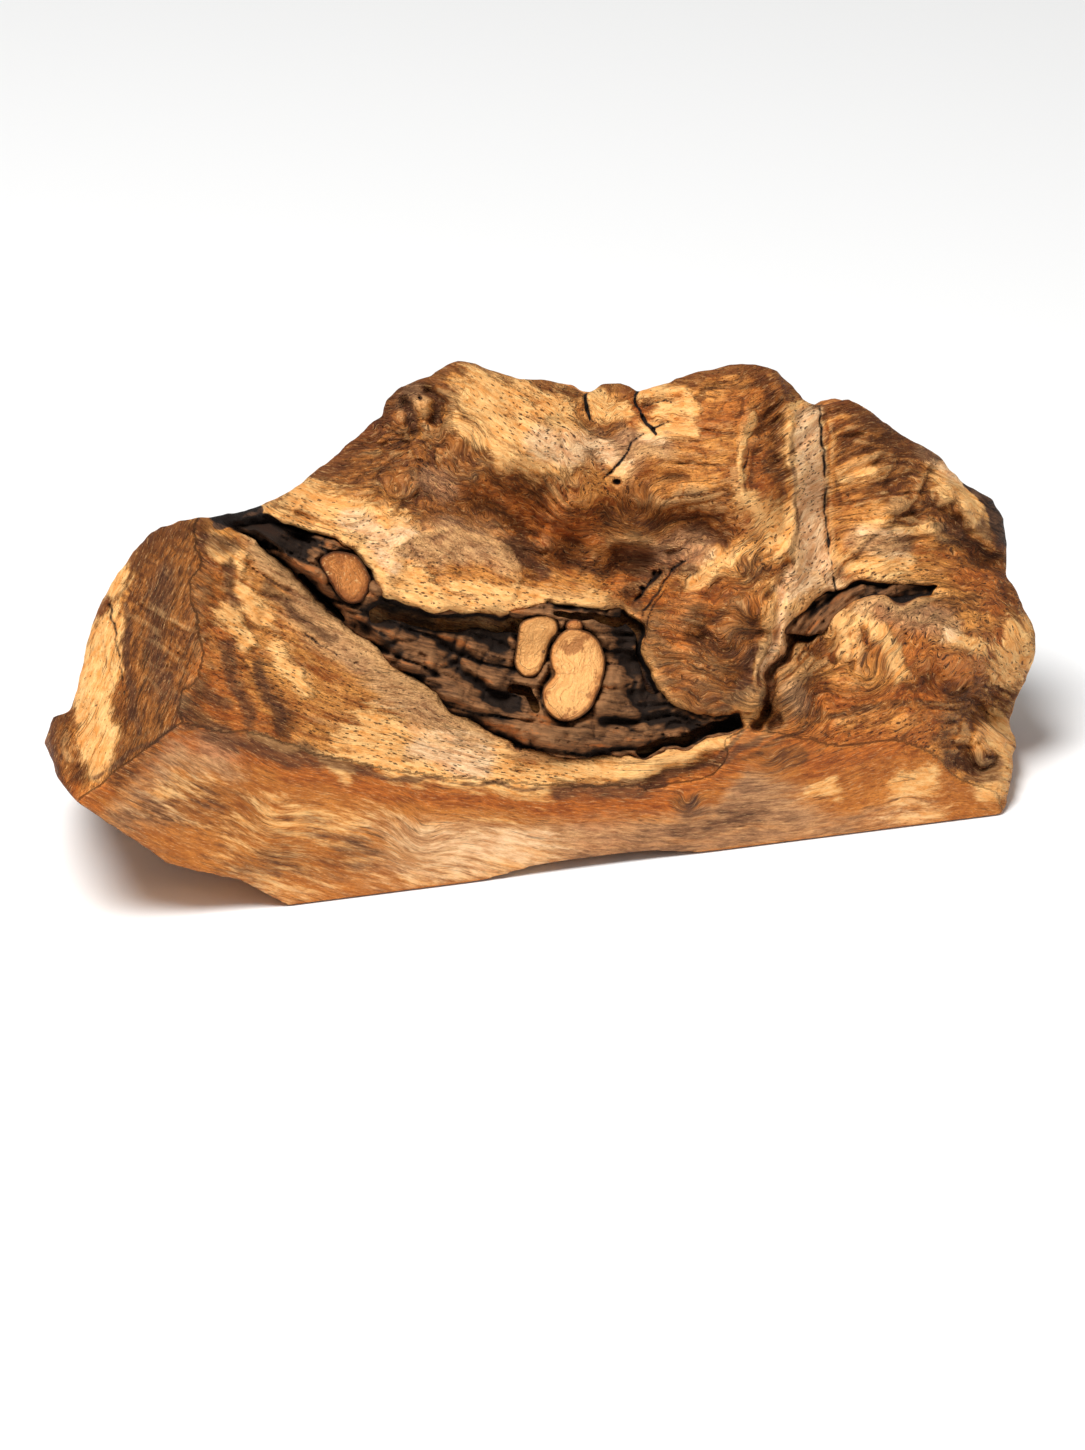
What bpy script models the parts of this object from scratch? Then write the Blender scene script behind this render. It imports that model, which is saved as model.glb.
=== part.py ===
"""Oak burl: one grown lump, sawn flat underneath and along the front, cleft at its left end.

Millimetres inside the script, metres on the finished mesh. +X runs along the burl to the right,
+Y away from the sawn front, +Z up. The origin is under the middle of the burl, on the base plane.
"""

import math

import bmesh
import bpy
import numpy as np
import openvdb

MM = 0.001

# Driving dimensions.
HALF_LENGTH = 171.0
HALF_DEPTH = 75.0  # the sawn front is the plane y = -HALF_DEPTH
UNDERSIDE = [(-172, 47), (-140, 19.5), (-121, 12), (-116, 11), (-100, 0)]  # x, z: it lifts off at the left
HOLLOW_HEIGHT = 3.5  # shallow hollow under the front edge
TRIANGLES = 7000
GRAIN = 2.6  # spacing of the working grid

# The show face is drawn as it is seen from one standing place: across and up on a plane through AIM.
AIM = np.array([9.0, 0.0, 19.7])
VIEW_TURN = math.radians(-18.0)
VIEW_TILT = math.radians(22.0)
VIEW_DISTANCE = 2400.0

# The burl's outline on the show face, counter-clockwise from its left tip.
OUTLINE = [
    (-164, -6), (-159, -20), (-153, -27), (-130, -41), (-125, -46), (-104, -51), (-88, -60),
    (-85, -90), (170, -80), (153, -30), (153, -24), (155, -16), (156, -7), (154, 2), (158, 12),
    (162, 21), (163, 30), (158, 40), (153, 49), (153, 59), (152, 68), (148, 74), (139, 81),
    (130, 89), (118, 96), (108, 104), (101, 107), (93, 106), (86, 107), (82, 113), (78, 118),
    (65, 120), (52, 118), (39, 114), (32, 112), (26, 115), (19, 115), (13, 112), (6, 114),
    (-7, 116), (-21, 121), (-28, 122), (-34, 119), (-37, 115), (-43, 113), (-47, 112), (-52, 108),
    (-54, 103), (-58, 101), (-63, 95), (-67, 90), (-78, 81), (-84, 77), (-94, 72), (-103, 70), (-113, 69), (-121, 67), (-129, 64),
    (-134, 58), (-141, 48), (-148, 36), (-151, 25), (-153, 15), (-156, 5), (-162, 3),
]

# The grown upper surface of the show face: across, up, and the depth y that it lies at.
GROWN = [
    # the lip that overhangs the bark
    (-94, 72, -16), (-82, 66, -24), (-70, 59, -30), (-62, 51, -36), (-55, 42, -42), (-35, 37, -46),
    (-14, 36, -48), (2, 38, -49), (15, 40, -48), (27, 38, -44),
    # the left mass: pale shelf, dark lobe and ridge
    (-60, 75, -14), (-45, 56, -28), (-30, 48, -35), (-10, 50, -34), (-30, 62, -22), (-45, 95, 0),
    (-60, 98, 6), (-34, 118, 8), (-20, 105, -6), (-8, 86, -19), (-26, 82, -14), (-20, 71, -13),
    (8, 82, -14), (4, 96, -8), (6, 112, 6), (-7, 114, 6),
    # the hollow in the middle, with its small knob
    (-2, 68, -10), (10, 62, -9), (8, 73, -14), (22, 66, -9), (10, 52, -22),
    # the saddle and the right ridge
    (19, 97, -2), (25, 112, 12), (35, 97, -5), (36, 80, -10), (52, 92, -14), (66, 107, -6),
    (65, 118, 4), (72, 82, -24), (58, 64, -24), (40, 60, -15), (32, 50, -20),
    # the nose that hangs over the bark's right end
    (46, 44, -36), (56, 36, -50), (64, 26, -58), (66, 14, -62), (57, 8, -62), (50, 14, -58),
    (44, 24, -50), (76, 40, -44), (74, 56, -32), (80, 26, -50),
    # the pale channel and the block to its right
    (90, 103, 4), (90, 76, -8), (90, 52, -22), (101, 103, 0), (112, 74, -18), (108, 54, -31),
    (128, 82, -6), (132, 60, -22), (147, 58, -16), (120, 94, 2),
    # the right lobe, below the second bark line
    (86, 22, -50), (101, 30, -46), (118, 27, -48), (138, 32, -40), (155, 26, -38), (111, 8, -66),
    (138, 4, -58), (150, 4, -40), (118, -12, -76), (101, -24, -80), (138, -20, -77), (150, -18, -66),
    (72, -8, -80), (62, -4, -76), (45, -12, -78), (78, 6, -66),
    # the bark filling, between the lip and the long slope
    (-86, 66, -28), (-76, 52, -38), (-62, 36, -46), (-46, 24, -52), (-30, 12, -58), (-12, 2, -66),
    (10, -5, -70), (32, -7, -70), (52, -4, -68), (-40, 30, -44), (-22, 22, -48), (-4, 22, -50),
    (6, 30, -50), (24, 26, -50), (20, 10, -62), (36, 16, -56),
]
GROWN_SOFTNESS = 7.0

# Grooves (negative) and ridges (positive) across the show face: points, half width, height.
GROOVES = [
    ([(-93, 70), (-78, 60), (-66, 54), (-60, 45)], 6, -4),
    ([(-60, 38), (-44, 33), (-20, 31), (-2, 33), (6, 24)], 7, -6),
    ([(22, 34), (32, 26), (38, 18), (46, 6)], 7, -5),
    ([(34, -7), (50, -4), (58, 1), (68, 6)], 5, -4),
    ([(72, 6), (77, 18), (80, 30), (86, 36)], 6, -6),
    ([(82, 30), (92, 41), (104, 46), (122, 45), (130, 46)], 6, -4),
    ([(96, 104), (97, 76), (97, 50)], 5, -2),
    ([(80, 110), (84, 84), (84, 58), (80, 44)], 6, 3),
    ([(-100, 66), (-80, 48), (-60, 29), (-40, 12), (-22, 0)], 5, -3),
]

# Knots in the bark stand proud: across, up, half width, half height, how far they stand out.
KNOTS = [(-65, 49, 8, 7, 2.5), (10, 24, 8, 8, 4), (6, 10, 8, 8, 4), (-3, 24, 6, 9, 2.5)]

# Knobs on the hidden back: x, z, radius, how far they stand out.
BACK_KNOBS = [
    (-110, 62, 38, 9), (-52, 98, 34, 10), (-30, 40, 40, 8), (28, 84, 36, 11), (64, 38, 34, 9),
    (108, 68, 34, 8), (-86, 20, 30, 5), (10, 12, 36, 5), (130, 24, 28, 6),
]


def showFaceAxes():
    """Across, up and towards the viewer, as unit vectors."""
    turn, tilt = VIEW_TURN, VIEW_TILT
    across = np.array([math.cos(turn), math.sin(turn), 0.0])
    out = np.array([math.sin(turn) * math.cos(tilt), -math.cos(turn) * math.cos(tilt), math.sin(tilt)])
    return across, np.cross(out, across), out


ACROSS, UP, OUT = showFaceAxes()


def seen(points):
    """Where points appear on the show face: across and up."""
    offset = points - AIM
    scale = VIEW_DISTANCE / (VIEW_DISTANCE - offset @ OUT)
    return (offset @ ACROSS) * scale, (offset @ UP) * scale


def insideOutline(u, v):
    """Distance to the outline on the show face, positive inside it."""
    nearest = np.full(u.shape, 1e9)
    inside = np.zeros(u.shape, bool)
    for (au, av), (bu, bv) in zip(OUTLINE, OUTLINE[1:] + OUTLINE[:1]):
        du, dv = bu - au, bv - av
        along = np.clip(((u - au) * du + (v - av) * dv) / (du * du + dv * dv), 0, 1)
        nearest = np.minimum(nearest, np.hypot(u - au - along * du, v - av - along * dv))
        crosses = (av > v) != (bv > v)
        inside ^= crosses & (u < au + (v - av) * du / (dv if dv else 1e-9))
    return np.where(inside, nearest, -nearest)


def strokeDistance(u, v, points):
    """Distance to a polyline on the show face."""
    nearest = np.full(u.shape, 1e9)
    for (au, av), (bu, bv) in zip(points, points[1:]):
        du, dv = bu - au, bv - av
        along = np.clip(((u - au) * du + (v - av) * dv) / (du * du + dv * dv), 0, 1)
        nearest = np.minimum(nearest, np.hypot(u - au - along * du, v - av - along * dv))
    return nearest


def softMin(a, b, width):
    """The lower of two fields, rounded where they meet."""
    blend = np.clip(0.5 + 0.5 * (b - a) / width, 0, 1)
    return b + (a - b) * blend - width * blend * (1 - blend)


def fitGrown():
    """Weights of the smooth sheet that passes through the GROWN points."""
    data = np.array(GROWN, float)
    apart = np.hypot(data[:, None, 0] - data[None, :, 0], data[:, None, 1] - data[None, :, 1])
    kernel = np.hypot(apart, GROWN_SOFTNESS) + 0.15 * np.eye(len(data))
    plane = np.column_stack([data[:, :2], np.ones(len(data))])
    system = np.block([[kernel, plane], [plane.T, np.zeros((3, 3))]])
    return data, np.linalg.solve(system, np.concatenate([data[:, 2], np.zeros(3)]))


GROWN_POINTS, GROWN_WEIGHTS = fitGrown()


def grownDepth(u, v):
    depth = GROWN_WEIGHTS[-3] * u + GROWN_WEIGHTS[-2] * v + GROWN_WEIGHTS[-1]
    for (pu, pv, _), weight in zip(GROWN_POINTS, GROWN_WEIGHTS):
        depth = depth + weight * np.sqrt((u - pu) ** 2 + (v - pv) ** 2 + GROWN_SOFTNESS**2)
    return depth


def slopeDepth(u, v):
    """The long smooth slope above the sawn front's arris."""
    arris = np.interp(u, [-120, -70, -47, -1, 30, 50, 72], [-1, -13, -17, -21.5, -21, -18, -12])
    above = v - arris
    return -HALF_DEPTH + 0.8 * above - 3.0 * np.sin(np.clip(above / 60, 0, 1) * math.pi)


def endFacetDepth(u, v):
    """The dark cleft facet at the left end, a plane through the corner."""
    return -HALF_DEPTH - 0.659 * (u + 120) + 0.870 * (v + 1)


def grownBelow(u):
    """Height on the show face under which the long slope, not the grown surface, is the outside."""
    return np.interp(u, [-108, -93, -70, -45, -30, -14, 5, 25, 45, 60], [70, 61, 42, 19, 8, -2, -8, -9, -6, 2])


def showDepth(u, v):
    """Depth y of the whole show face, before the fine relief and the sawn front."""
    grown = grownDepth(u, v)
    slope = -softMin(-slopeDepth(u, v), -endFacetDepth(u, v), 2.0)
    above = np.clip((v - grownBelow(u)) / 7.0 + 0.5, 0, 1)
    rightwards = np.clip((u - 56) / 12, 0, 1)
    share = np.maximum(above, rightwards) * np.clip((u + 113) / 9, 0, 1)
    return slope * (1 - share) + grown * share


def relief(u, v):
    """Height of the grooves, ridges and knots over the show face."""
    height = np.zeros(u.shape)
    for points, half, rise in GROOVES:
        height += rise * np.clip(1 - (strokeDistance(u, v, points) / half) ** 2, 0, 1) ** 1.5
    for cu, cv, halfWide, halfHigh, proud in KNOTS:
        reach = ((u - cu) / halfWide) ** 2 + ((v - cv) / halfHigh) ** 2
        height += proud * np.clip(1.5 - reach, 0, 1)
    return height


def showHeight(u, v, y):
    """How deep a point lies behind the show face, measured square to that face."""
    depth = showDepth(u, v)
    alongU, alongV = showDepth(u + 1, v) - depth, showDepth(u, v + 1) - depth
    steep = np.sqrt(1 + alongU**2 + alongV**2 - 2 * (alongU * ACROSS[1] + alongV * UP[1]))
    return (y - depth) / steep + relief(u, v)


def backDepth(x, z):
    """Depth y of the knobbly back."""
    depth = HALF_DEPTH - 8 - 24 * np.abs(x / HALF_LENGTH) ** 3 - 30 * np.abs((z - 58) / 95) ** 2.5
    for cx, cz, radius, proud in BACK_KNOBS:
        depth = depth + proud * np.exp(-((x - cx) ** 2 + (z - cz) ** 2) / (0.5 * radius**2))
    return depth


def lumps(points, size):
    """Smooth swellings between -1 and 1, about the given size across."""
    cell = np.floor(points / size).astype(np.int64)
    part = points / size - cell
    ease = part * part * (3 - 2 * part)
    total = np.zeros(len(points))
    for corner in np.ndindex(2, 2, 2):
        share = np.prod(np.where(corner, ease, 1 - ease), axis=1)
        mixed = (cell + corner) @ np.array([73856093, 19349663, 83492791])
        mixed = (mixed ^ (mixed >> 13)) * 1274126177 & 0xFFFFFFFF
        total += share * ((mixed >> 8 & 0xFFFF) / 32767.5 - 1)
    return total


def underside(x, y):
    """Height of the underside: a shallow hollow at the front edge, and the rise at the left end."""
    hollow = HOLLOW_HEIGHT * np.exp(-(((x - 2) / 30) ** 4) - ((y + HALF_DEPTH) / 30) ** 2)
    return np.maximum(hollow - 0.01, np.interp(x, *zip(*UNDERSIDE)))


def inside(points):
    """Roughly how deep points lie inside the burl, in millimetres: zero on its surface."""
    x, y, z = points.T
    u, v = seen(points)
    swell = 2.4 * lumps(points, 30.0) + 1.1 * lumps(points, 13.0)
    behind = np.clip((y - 4) / 22, 0, 1)
    depth = insideOutline(u, v) - behind * (5 + 3 * swell) - 0.003 * np.clip(y - 8, 0, 99) ** 2
    depth = softMin(depth, showHeight(u, v, y) - 0.5 * swell, 5.0)
    depth = softMin(depth, (backDepth(x, z) + 2 * swell - y) / 1.1, 14.0)
    depth = softMin(depth, (HALF_LENGTH + 15 - x - 0.36 * (y + 29)) / 1.06 + swell, 6.0)
    depth = softMin(depth, (z - underside(x, y)) / 1.1, 3.0)
    depth = softMin(depth, y + HALF_DEPTH, 1.5)
    return np.minimum(depth, np.minimum(HALF_DEPTH - y, HALF_LENGTH - np.abs(x)))


def growSurface():
    """Fills a grid with the field and takes the mesh of its zero surface."""
    reach = [HALF_LENGTH + 8, HALF_DEPTH + 8]
    xs = np.arange(-reach[0], reach[0], GRAIN)
    ys = np.arange(-reach[1], reach[1], GRAIN)
    zs = np.arange(-4 * GRAIN, 150.0, GRAIN)
    grid = np.stack(np.meshgrid(xs, ys, zs, indexing="ij"), axis=-1)
    field = -inside(grid.reshape(-1, 3)).reshape(grid.shape[:3])
    volume = openvdb.FloatGrid(background=3 * GRAIN)
    volume.copyFromArray(np.clip(field, -3 * GRAIN, 3 * GRAIN).astype(np.float32))
    corners, faces = volume.convertToQuads()
    mesh = bpy.data.meshes.new("oak_burl")
    mesh.from_pydata(corners * GRAIN + grid[0, 0, 0], [], faces[:, ::-1])
    return mesh


def cutBase(mesh):
    """Saws everything below the base plane away and closes the cut with one flat face."""
    bm = bmesh.new()
    bm.from_mesh(mesh)
    everything = bm.verts[:] + bm.edges[:] + bm.faces[:]
    cut = bmesh.ops.bisect_plane(
        bm, geom=everything, plane_co=(0, 0, 0), plane_no=(0, 0, -1), clear_outer=True
    )
    rim = [piece for piece in cut["geom_cut"] if isinstance(piece, bmesh.types.BMEdge)]
    bmesh.ops.contextual_create(bm, geom=rim)
    bmesh.ops.recalc_face_normals(bm, faces=bm.faces)
    bm.to_mesh(mesh)
    bm.free()


def thinOut(burl):
    """Collapses the mesh to about the wanted number of triangles and keeps the result."""
    decimate = burl.modifiers.new("thin_out", "DECIMATE")
    decimate.ratio = TRIANGLES / (2 * len(burl.data.polygons))
    decimate.use_collapse_triangulate = True
    graph = bpy.context.evaluated_depsgraph_get()
    thinned = bpy.data.meshes.new_from_object(burl.evaluated_get(graph))
    burl.modifiers.clear()
    burl.data = thinned


def woodMaterial():
    material = bpy.data.materials.new("weathered_oak")
    material.use_nodes = True
    shader = material.node_tree.nodes["Principled BSDF"]
    shader.inputs["Base Color"].default_value = (0.45, 0.23, 0.09, 1)
    shader.inputs["Roughness"].default_value = 0.6
    shader.inputs["Metallic"].default_value = 0.0
    return material


def makeBurl():
    burl = bpy.data.objects.new("oak_burl", growSurface())
    collection = bpy.data.collections.new("oak_burl_parts")
    bpy.context.scene.collection.children.link(collection)
    collection.objects.link(burl)
    thinOut(burl)
    cutBase(burl.data)
    for vertex in burl.data.vertices:
        vertex.co *= MM
    burl.data.materials.append(woodMaterial())
    burl.data.shade_smooth()
    burl.data.set_sharp_from_angle(angle=math.radians(35))
    return burl


for old in list(bpy.data.objects):
    bpy.data.objects.remove(old)
makeBurl()
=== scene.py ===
import math

import bmesh
import bpy
import numpy as np
import openvdb
from mathutils import Matrix, Vector


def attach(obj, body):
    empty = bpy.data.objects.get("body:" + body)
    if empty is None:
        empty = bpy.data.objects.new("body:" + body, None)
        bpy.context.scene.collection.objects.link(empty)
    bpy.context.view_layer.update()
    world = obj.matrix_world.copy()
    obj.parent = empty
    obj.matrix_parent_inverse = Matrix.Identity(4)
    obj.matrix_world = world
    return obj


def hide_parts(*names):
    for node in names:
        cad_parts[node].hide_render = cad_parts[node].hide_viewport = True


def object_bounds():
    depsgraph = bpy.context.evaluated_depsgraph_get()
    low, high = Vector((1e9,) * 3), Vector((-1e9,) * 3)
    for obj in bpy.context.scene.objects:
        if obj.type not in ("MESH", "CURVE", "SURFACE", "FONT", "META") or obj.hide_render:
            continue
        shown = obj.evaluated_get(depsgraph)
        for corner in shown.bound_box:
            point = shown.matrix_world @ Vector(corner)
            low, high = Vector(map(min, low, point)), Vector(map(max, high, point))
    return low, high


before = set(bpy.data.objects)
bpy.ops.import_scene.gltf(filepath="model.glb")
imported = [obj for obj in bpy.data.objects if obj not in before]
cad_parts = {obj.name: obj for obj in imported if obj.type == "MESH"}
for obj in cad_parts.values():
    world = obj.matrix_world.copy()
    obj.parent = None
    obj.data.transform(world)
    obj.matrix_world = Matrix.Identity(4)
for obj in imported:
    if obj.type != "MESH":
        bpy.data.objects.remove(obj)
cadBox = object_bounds()
print("frame loaded")

mm = 0.001

# Everything is drawn in millimetres. The show face is drawn as it is seen from the camera:
# u runs across and v runs up, on a plane through the aim.
view = {
    "aim": (9.0, 0.0, 19.7),
    "turn": -18.0,
    "tilt": 22.0,
    "distance": 2400.0,
    "tall": 478.5,
}


def viewAxes(turn, tilt):
    across = np.array([math.cos(turn), math.sin(turn), 0.0])
    out = np.array([math.sin(turn) * math.cos(tilt), -math.cos(turn) * math.cos(tilt), math.sin(tilt)])
    return across, np.cross(out, across), out


aim = np.array(view["aim"])
acrossAxis, upAxis, outAxis = viewAxes(math.radians(view["turn"]), math.radians(view["tilt"]))


def seen(points):
    offset = points - aim
    scale = view["distance"] / (view["distance"] - offset @ outAxis)
    return (offset @ acrossAxis) * scale, (offset @ upAxis) * scale


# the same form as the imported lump
burl = {
    "halfLength": 171.0,
    "halfDepth": 75.0,
    "underside": [(-172, 47), (-140, 19.5), (-121, 12), (-116, 11), (-100, 0)],  # x, z
    "hollowHeight": 3.5,
    "meshSize": 0.95,
    "meshBox": ((-180.0, -80.0, -6.0), (180.0, 84.0, 152.0)),
    "outline": [
        (-164, -6), (-159, -20), (-153, -27), (-130, -41), (-125, -46), (-104, -51), (-88, -60),
        (-85, -90), (170, -80), (153, -30), (153, -24), (155, -16), (156, -7), (154, 2), (158, 12),
        (162, 21), (163, 30), (158, 40), (153, 49), (153, 59), (152, 68), (148, 74), (139, 81),
        (130, 89), (118, 96), (108, 104), (101, 107), (93, 106), (86, 107), (82, 113), (78, 118),
        (65, 120), (52, 118), (39, 114), (32, 112), (26, 115), (19, 115), (13, 112), (6, 114),
        (-7, 116), (-21, 121), (-28, 122), (-34, 119), (-37, 115), (-43, 113), (-47, 112), (-52, 108),
        (-54, 103), (-58, 101), (-63, 95), (-67, 90), (-78, 81), (-84, 77), (-94, 72),
        (-103, 70), (-113, 69), (-121, 67), (-129, 64),
        (-134, 58), (-141, 48), (-148, 36), (-151, 25), (-153, 15), (-156, 5), (-162, 3),
    ],
    # the grown surface of the show face: across, up, and the depth y that it lies at
    "grown": [
        # the lip that overhangs the bark
        (-94, 72, -16), (-82, 66, -24), (-70, 59, -30), (-62, 51, -36), (-55, 42, -42), (-35, 37, -46),
        (-14, 36, -48), (2, 38, -49), (15, 40, -48), (27, 38, -44),
        # the left mass: pale shelf, dark lobe and ridge
        (-60, 75, -14), (-45, 56, -28), (-30, 48, -35), (-10, 50, -34), (-30, 62, -22), (-45, 95, 0),
        (-60, 98, 6), (-34, 118, 8), (-20, 105, -6), (-8, 86, -19), (-26, 82, -14), (-20, 71, -13),
        (8, 82, -14), (4, 96, -8), (6, 112, 6), (-7, 114, 6),
        # the hollow in the middle, with its small knob
        (-2, 68, -10), (10, 62, -9), (8, 73, -14), (22, 66, -9), (10, 52, -22),
        # the saddle and the right ridge
        (19, 97, -2), (25, 112, 12), (35, 97, -5), (36, 80, -10), (52, 92, -14), (66, 107, -6),
        (65, 118, 4), (72, 82, -24), (58, 64, -24), (40, 60, -15), (32, 50, -20),
        # the nose that hangs over the bark's right end
        (46, 44, -36), (56, 36, -50), (64, 26, -58), (66, 14, -62), (57, 8, -62), (50, 14, -58),
        (44, 24, -50), (76, 40, -44), (74, 56, -32), (80, 26, -50),
        # the pale channel and the block to its right
        (90, 103, 4), (90, 76, -8), (90, 52, -22), (101, 103, 0), (112, 74, -18), (108, 54, -31),
        (128, 82, -6), (132, 60, -22), (147, 58, -16), (120, 94, 2),
        # the right lobe, below the second bark line
        (86, 22, -50), (101, 30, -46), (118, 27, -48), (138, 32, -40), (155, 26, -38), (111, 8, -66),
        (138, 4, -58), (150, 4, -40), (118, -12, -76), (101, -24, -80), (138, -20, -77), (150, -18, -66),
        (72, -8, -80), (62, -4, -76), (45, -12, -78), (78, 6, -66),
        # the bark filling, between the lip and the long slope
        (-86, 66, -28), (-76, 52, -38), (-62, 36, -46), (-46, 24, -52), (-30, 12, -58), (-12, 2, -66),
        (10, -5, -70), (32, -7, -70), (52, -4, -68), (-40, 30, -44), (-22, 22, -48), (-4, 22, -50),
        (6, 30, -50), (24, 26, -50), (20, 10, -62), (36, 16, -56),
    ],
    "grownSoftness": 7.0,
    "backKnobs": [
        (-110, 62, 38, 9), (-52, 98, 34, 10), (-30, 40, 40, 8), (28, 84, 36, 11), (64, 38, 34, 9),
        (108, 68, 34, 8), (-86, 20, 30, 5), (10, 12, 36, 5), (130, 24, 28, 6),
    ],
}


def softMin(a, b, width):
    blend = np.clip(0.5 + 0.5 * (b - a) / width, 0, 1)
    return b + (a - b) * blend - width * blend * (1 - blend)


def lumps(points, size, seed=0):
    # smooth noise between -1 and 1; size may differ along each axis
    place = points / np.array(size) + seed * 17.31
    cell = np.floor(place).astype(np.int64)
    part = place - cell
    ease = part * part * (3 - 2 * part)
    total = np.zeros(len(points))
    for corner in np.ndindex(2, 2, 2):
        share = np.prod(np.where(corner, ease, 1 - ease), axis=1)
        mixed = (cell + corner) @ np.array([73856093, 19349663, 83492791])
        mixed = (mixed ^ (mixed >> 13)) * 1274126177 & 0xFFFFFFFF
        total += share * ((mixed >> 8 & 0xFFFF) / 32767.5 - 1)
    return total


def strokeDistance(u, v, points):
    nearest = np.full(u.shape, 1e9)
    if len(points) == 1:
        return np.hypot(u - points[0][0], v - points[0][1])
    for (au, av), (bu, bv) in zip(points, points[1:]):
        du, dv = bu - au, bv - av
        along = np.clip(((u - au) * du + (v - av) * dv) / (du * du + dv * dv), 0, 1)
        nearest = np.minimum(nearest, np.hypot(u - au - along * du, v - av - along * dv))
    return nearest


def insidePolygon(u, v, polygon):
    # distance to the polygon's edge, positive inside it
    closed = polygon + polygon[:1]
    inside = np.zeros(u.shape, bool)
    for (au, av), (bu, bv) in zip(closed, closed[1:]):
        crosses = (av > v) != (bv > v)
        inside ^= crosses & (u < au + (v - av) * (bu - au) / (bv - av if bv != av else 1e-9))
    nearest = strokeDistance(u, v, closed)
    return np.where(inside, nearest, -nearest)


# tables over the show face, one entry each half millimetre
tableStep = 0.5
tableU = np.arange(-185, 185, tableStep)
tableV = np.arange(-75, 140, tableStep)
gridU, gridV = np.meshgrid(tableU, tableV, indexing="ij")
flatGrid = np.column_stack([gridU.ravel(), gridV.ravel(), np.zeros(gridU.size)])


def pick(table, u, v):
    # reads a table between its points
    i = np.clip((u - tableU[0]) / tableStep, 0, len(tableU) - 1.001)
    j = np.clip((v - tableV[0]) / tableStep, 0, len(tableV) - 1.001)
    a, b = i.astype(int), j.astype(int)
    i, j = i - a, j - b
    low = table[a, b] * (1 - j) + table[a, b + 1] * j
    high = table[a + 1, b] * (1 - j) + table[a + 1, b + 1] * j
    return low * (1 - i) + high * i


def grownTable():
    data = np.array(burl["grown"], float)
    soft = burl["grownSoftness"]
    apart = np.hypot(data[:, None, 0] - data[None, :, 0], data[:, None, 1] - data[None, :, 1])
    kernel = np.hypot(apart, soft) + 0.15 * np.eye(len(data))
    plane = np.column_stack([data[:, :2], np.ones(len(data))])
    system = np.block([[kernel, plane], [plane.T, np.zeros((3, 3))]])
    weights = np.linalg.solve(system, np.concatenate([data[:, 2], np.zeros(3)]))
    depth = weights[-3] * gridU + weights[-2] * gridV + weights[-1]
    for (pu, pv, _), weight in zip(data, weights):
        depth += weight * np.sqrt((gridU - pu) ** 2 + (gridV - pv) ** 2 + soft**2)
    return depth


def slopeTable():
    arris = np.interp(gridU, [-120, -70, -47, -1, 30, 50, 72], [-1, -13, -17, -21.5, -21, -18, -12])
    above = gridV - arris
    return -burl["halfDepth"] + 0.8 * above - 3.0 * np.sin(np.clip(above / 60, 0, 1) * math.pi)


def endFacetTable():
    return -burl["halfDepth"] - 0.659 * (gridU + 120) + 0.870 * (gridV + 1)


def showTable():
    slope = -softMin(-slopeTable(), -endFacetTable(), 1.0)
    below = np.interp(
        gridU,
        [-108, -93, -70, -45, -30, -14, 5, 25, 45, 60],
        [70, 61, 42, 19, 8, -2, -8, -9, -6, 2],
    )
    above = np.clip((gridV - below) / 5.0 + 0.5, 0, 1)
    rightwards = np.clip((gridU - 56) / 12, 0, 1)
    share = np.maximum(above, rightwards) * np.clip((gridU + 113) / 9, 0, 1)
    return slope * (1 - share) + grownTable() * share


showDepth = showTable()
alongU, alongV = np.gradient(showDepth, tableStep)
steep = np.sqrt(1 + alongU**2 + alongV**2 - 2 * (alongU * acrossAxis[1] + alongV * upAxis[1]))
steep = np.maximum(steep, 0.6)
outline = insidePolygon(gridU, gridV, burl["outline"])
outline += 0.5 * lumps(flatGrid, (5, 5, 5)).reshape(gridU.shape)
outline += 0.3 * lumps(flatGrid, (2, 2, 2), 3).reshape(gridU.shape)
outline += 0.6 * lumps(flatGrid, (10, 10, 10), 4).reshape(gridU.shape) * (gridV > 20)
print("show face drawn")

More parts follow.
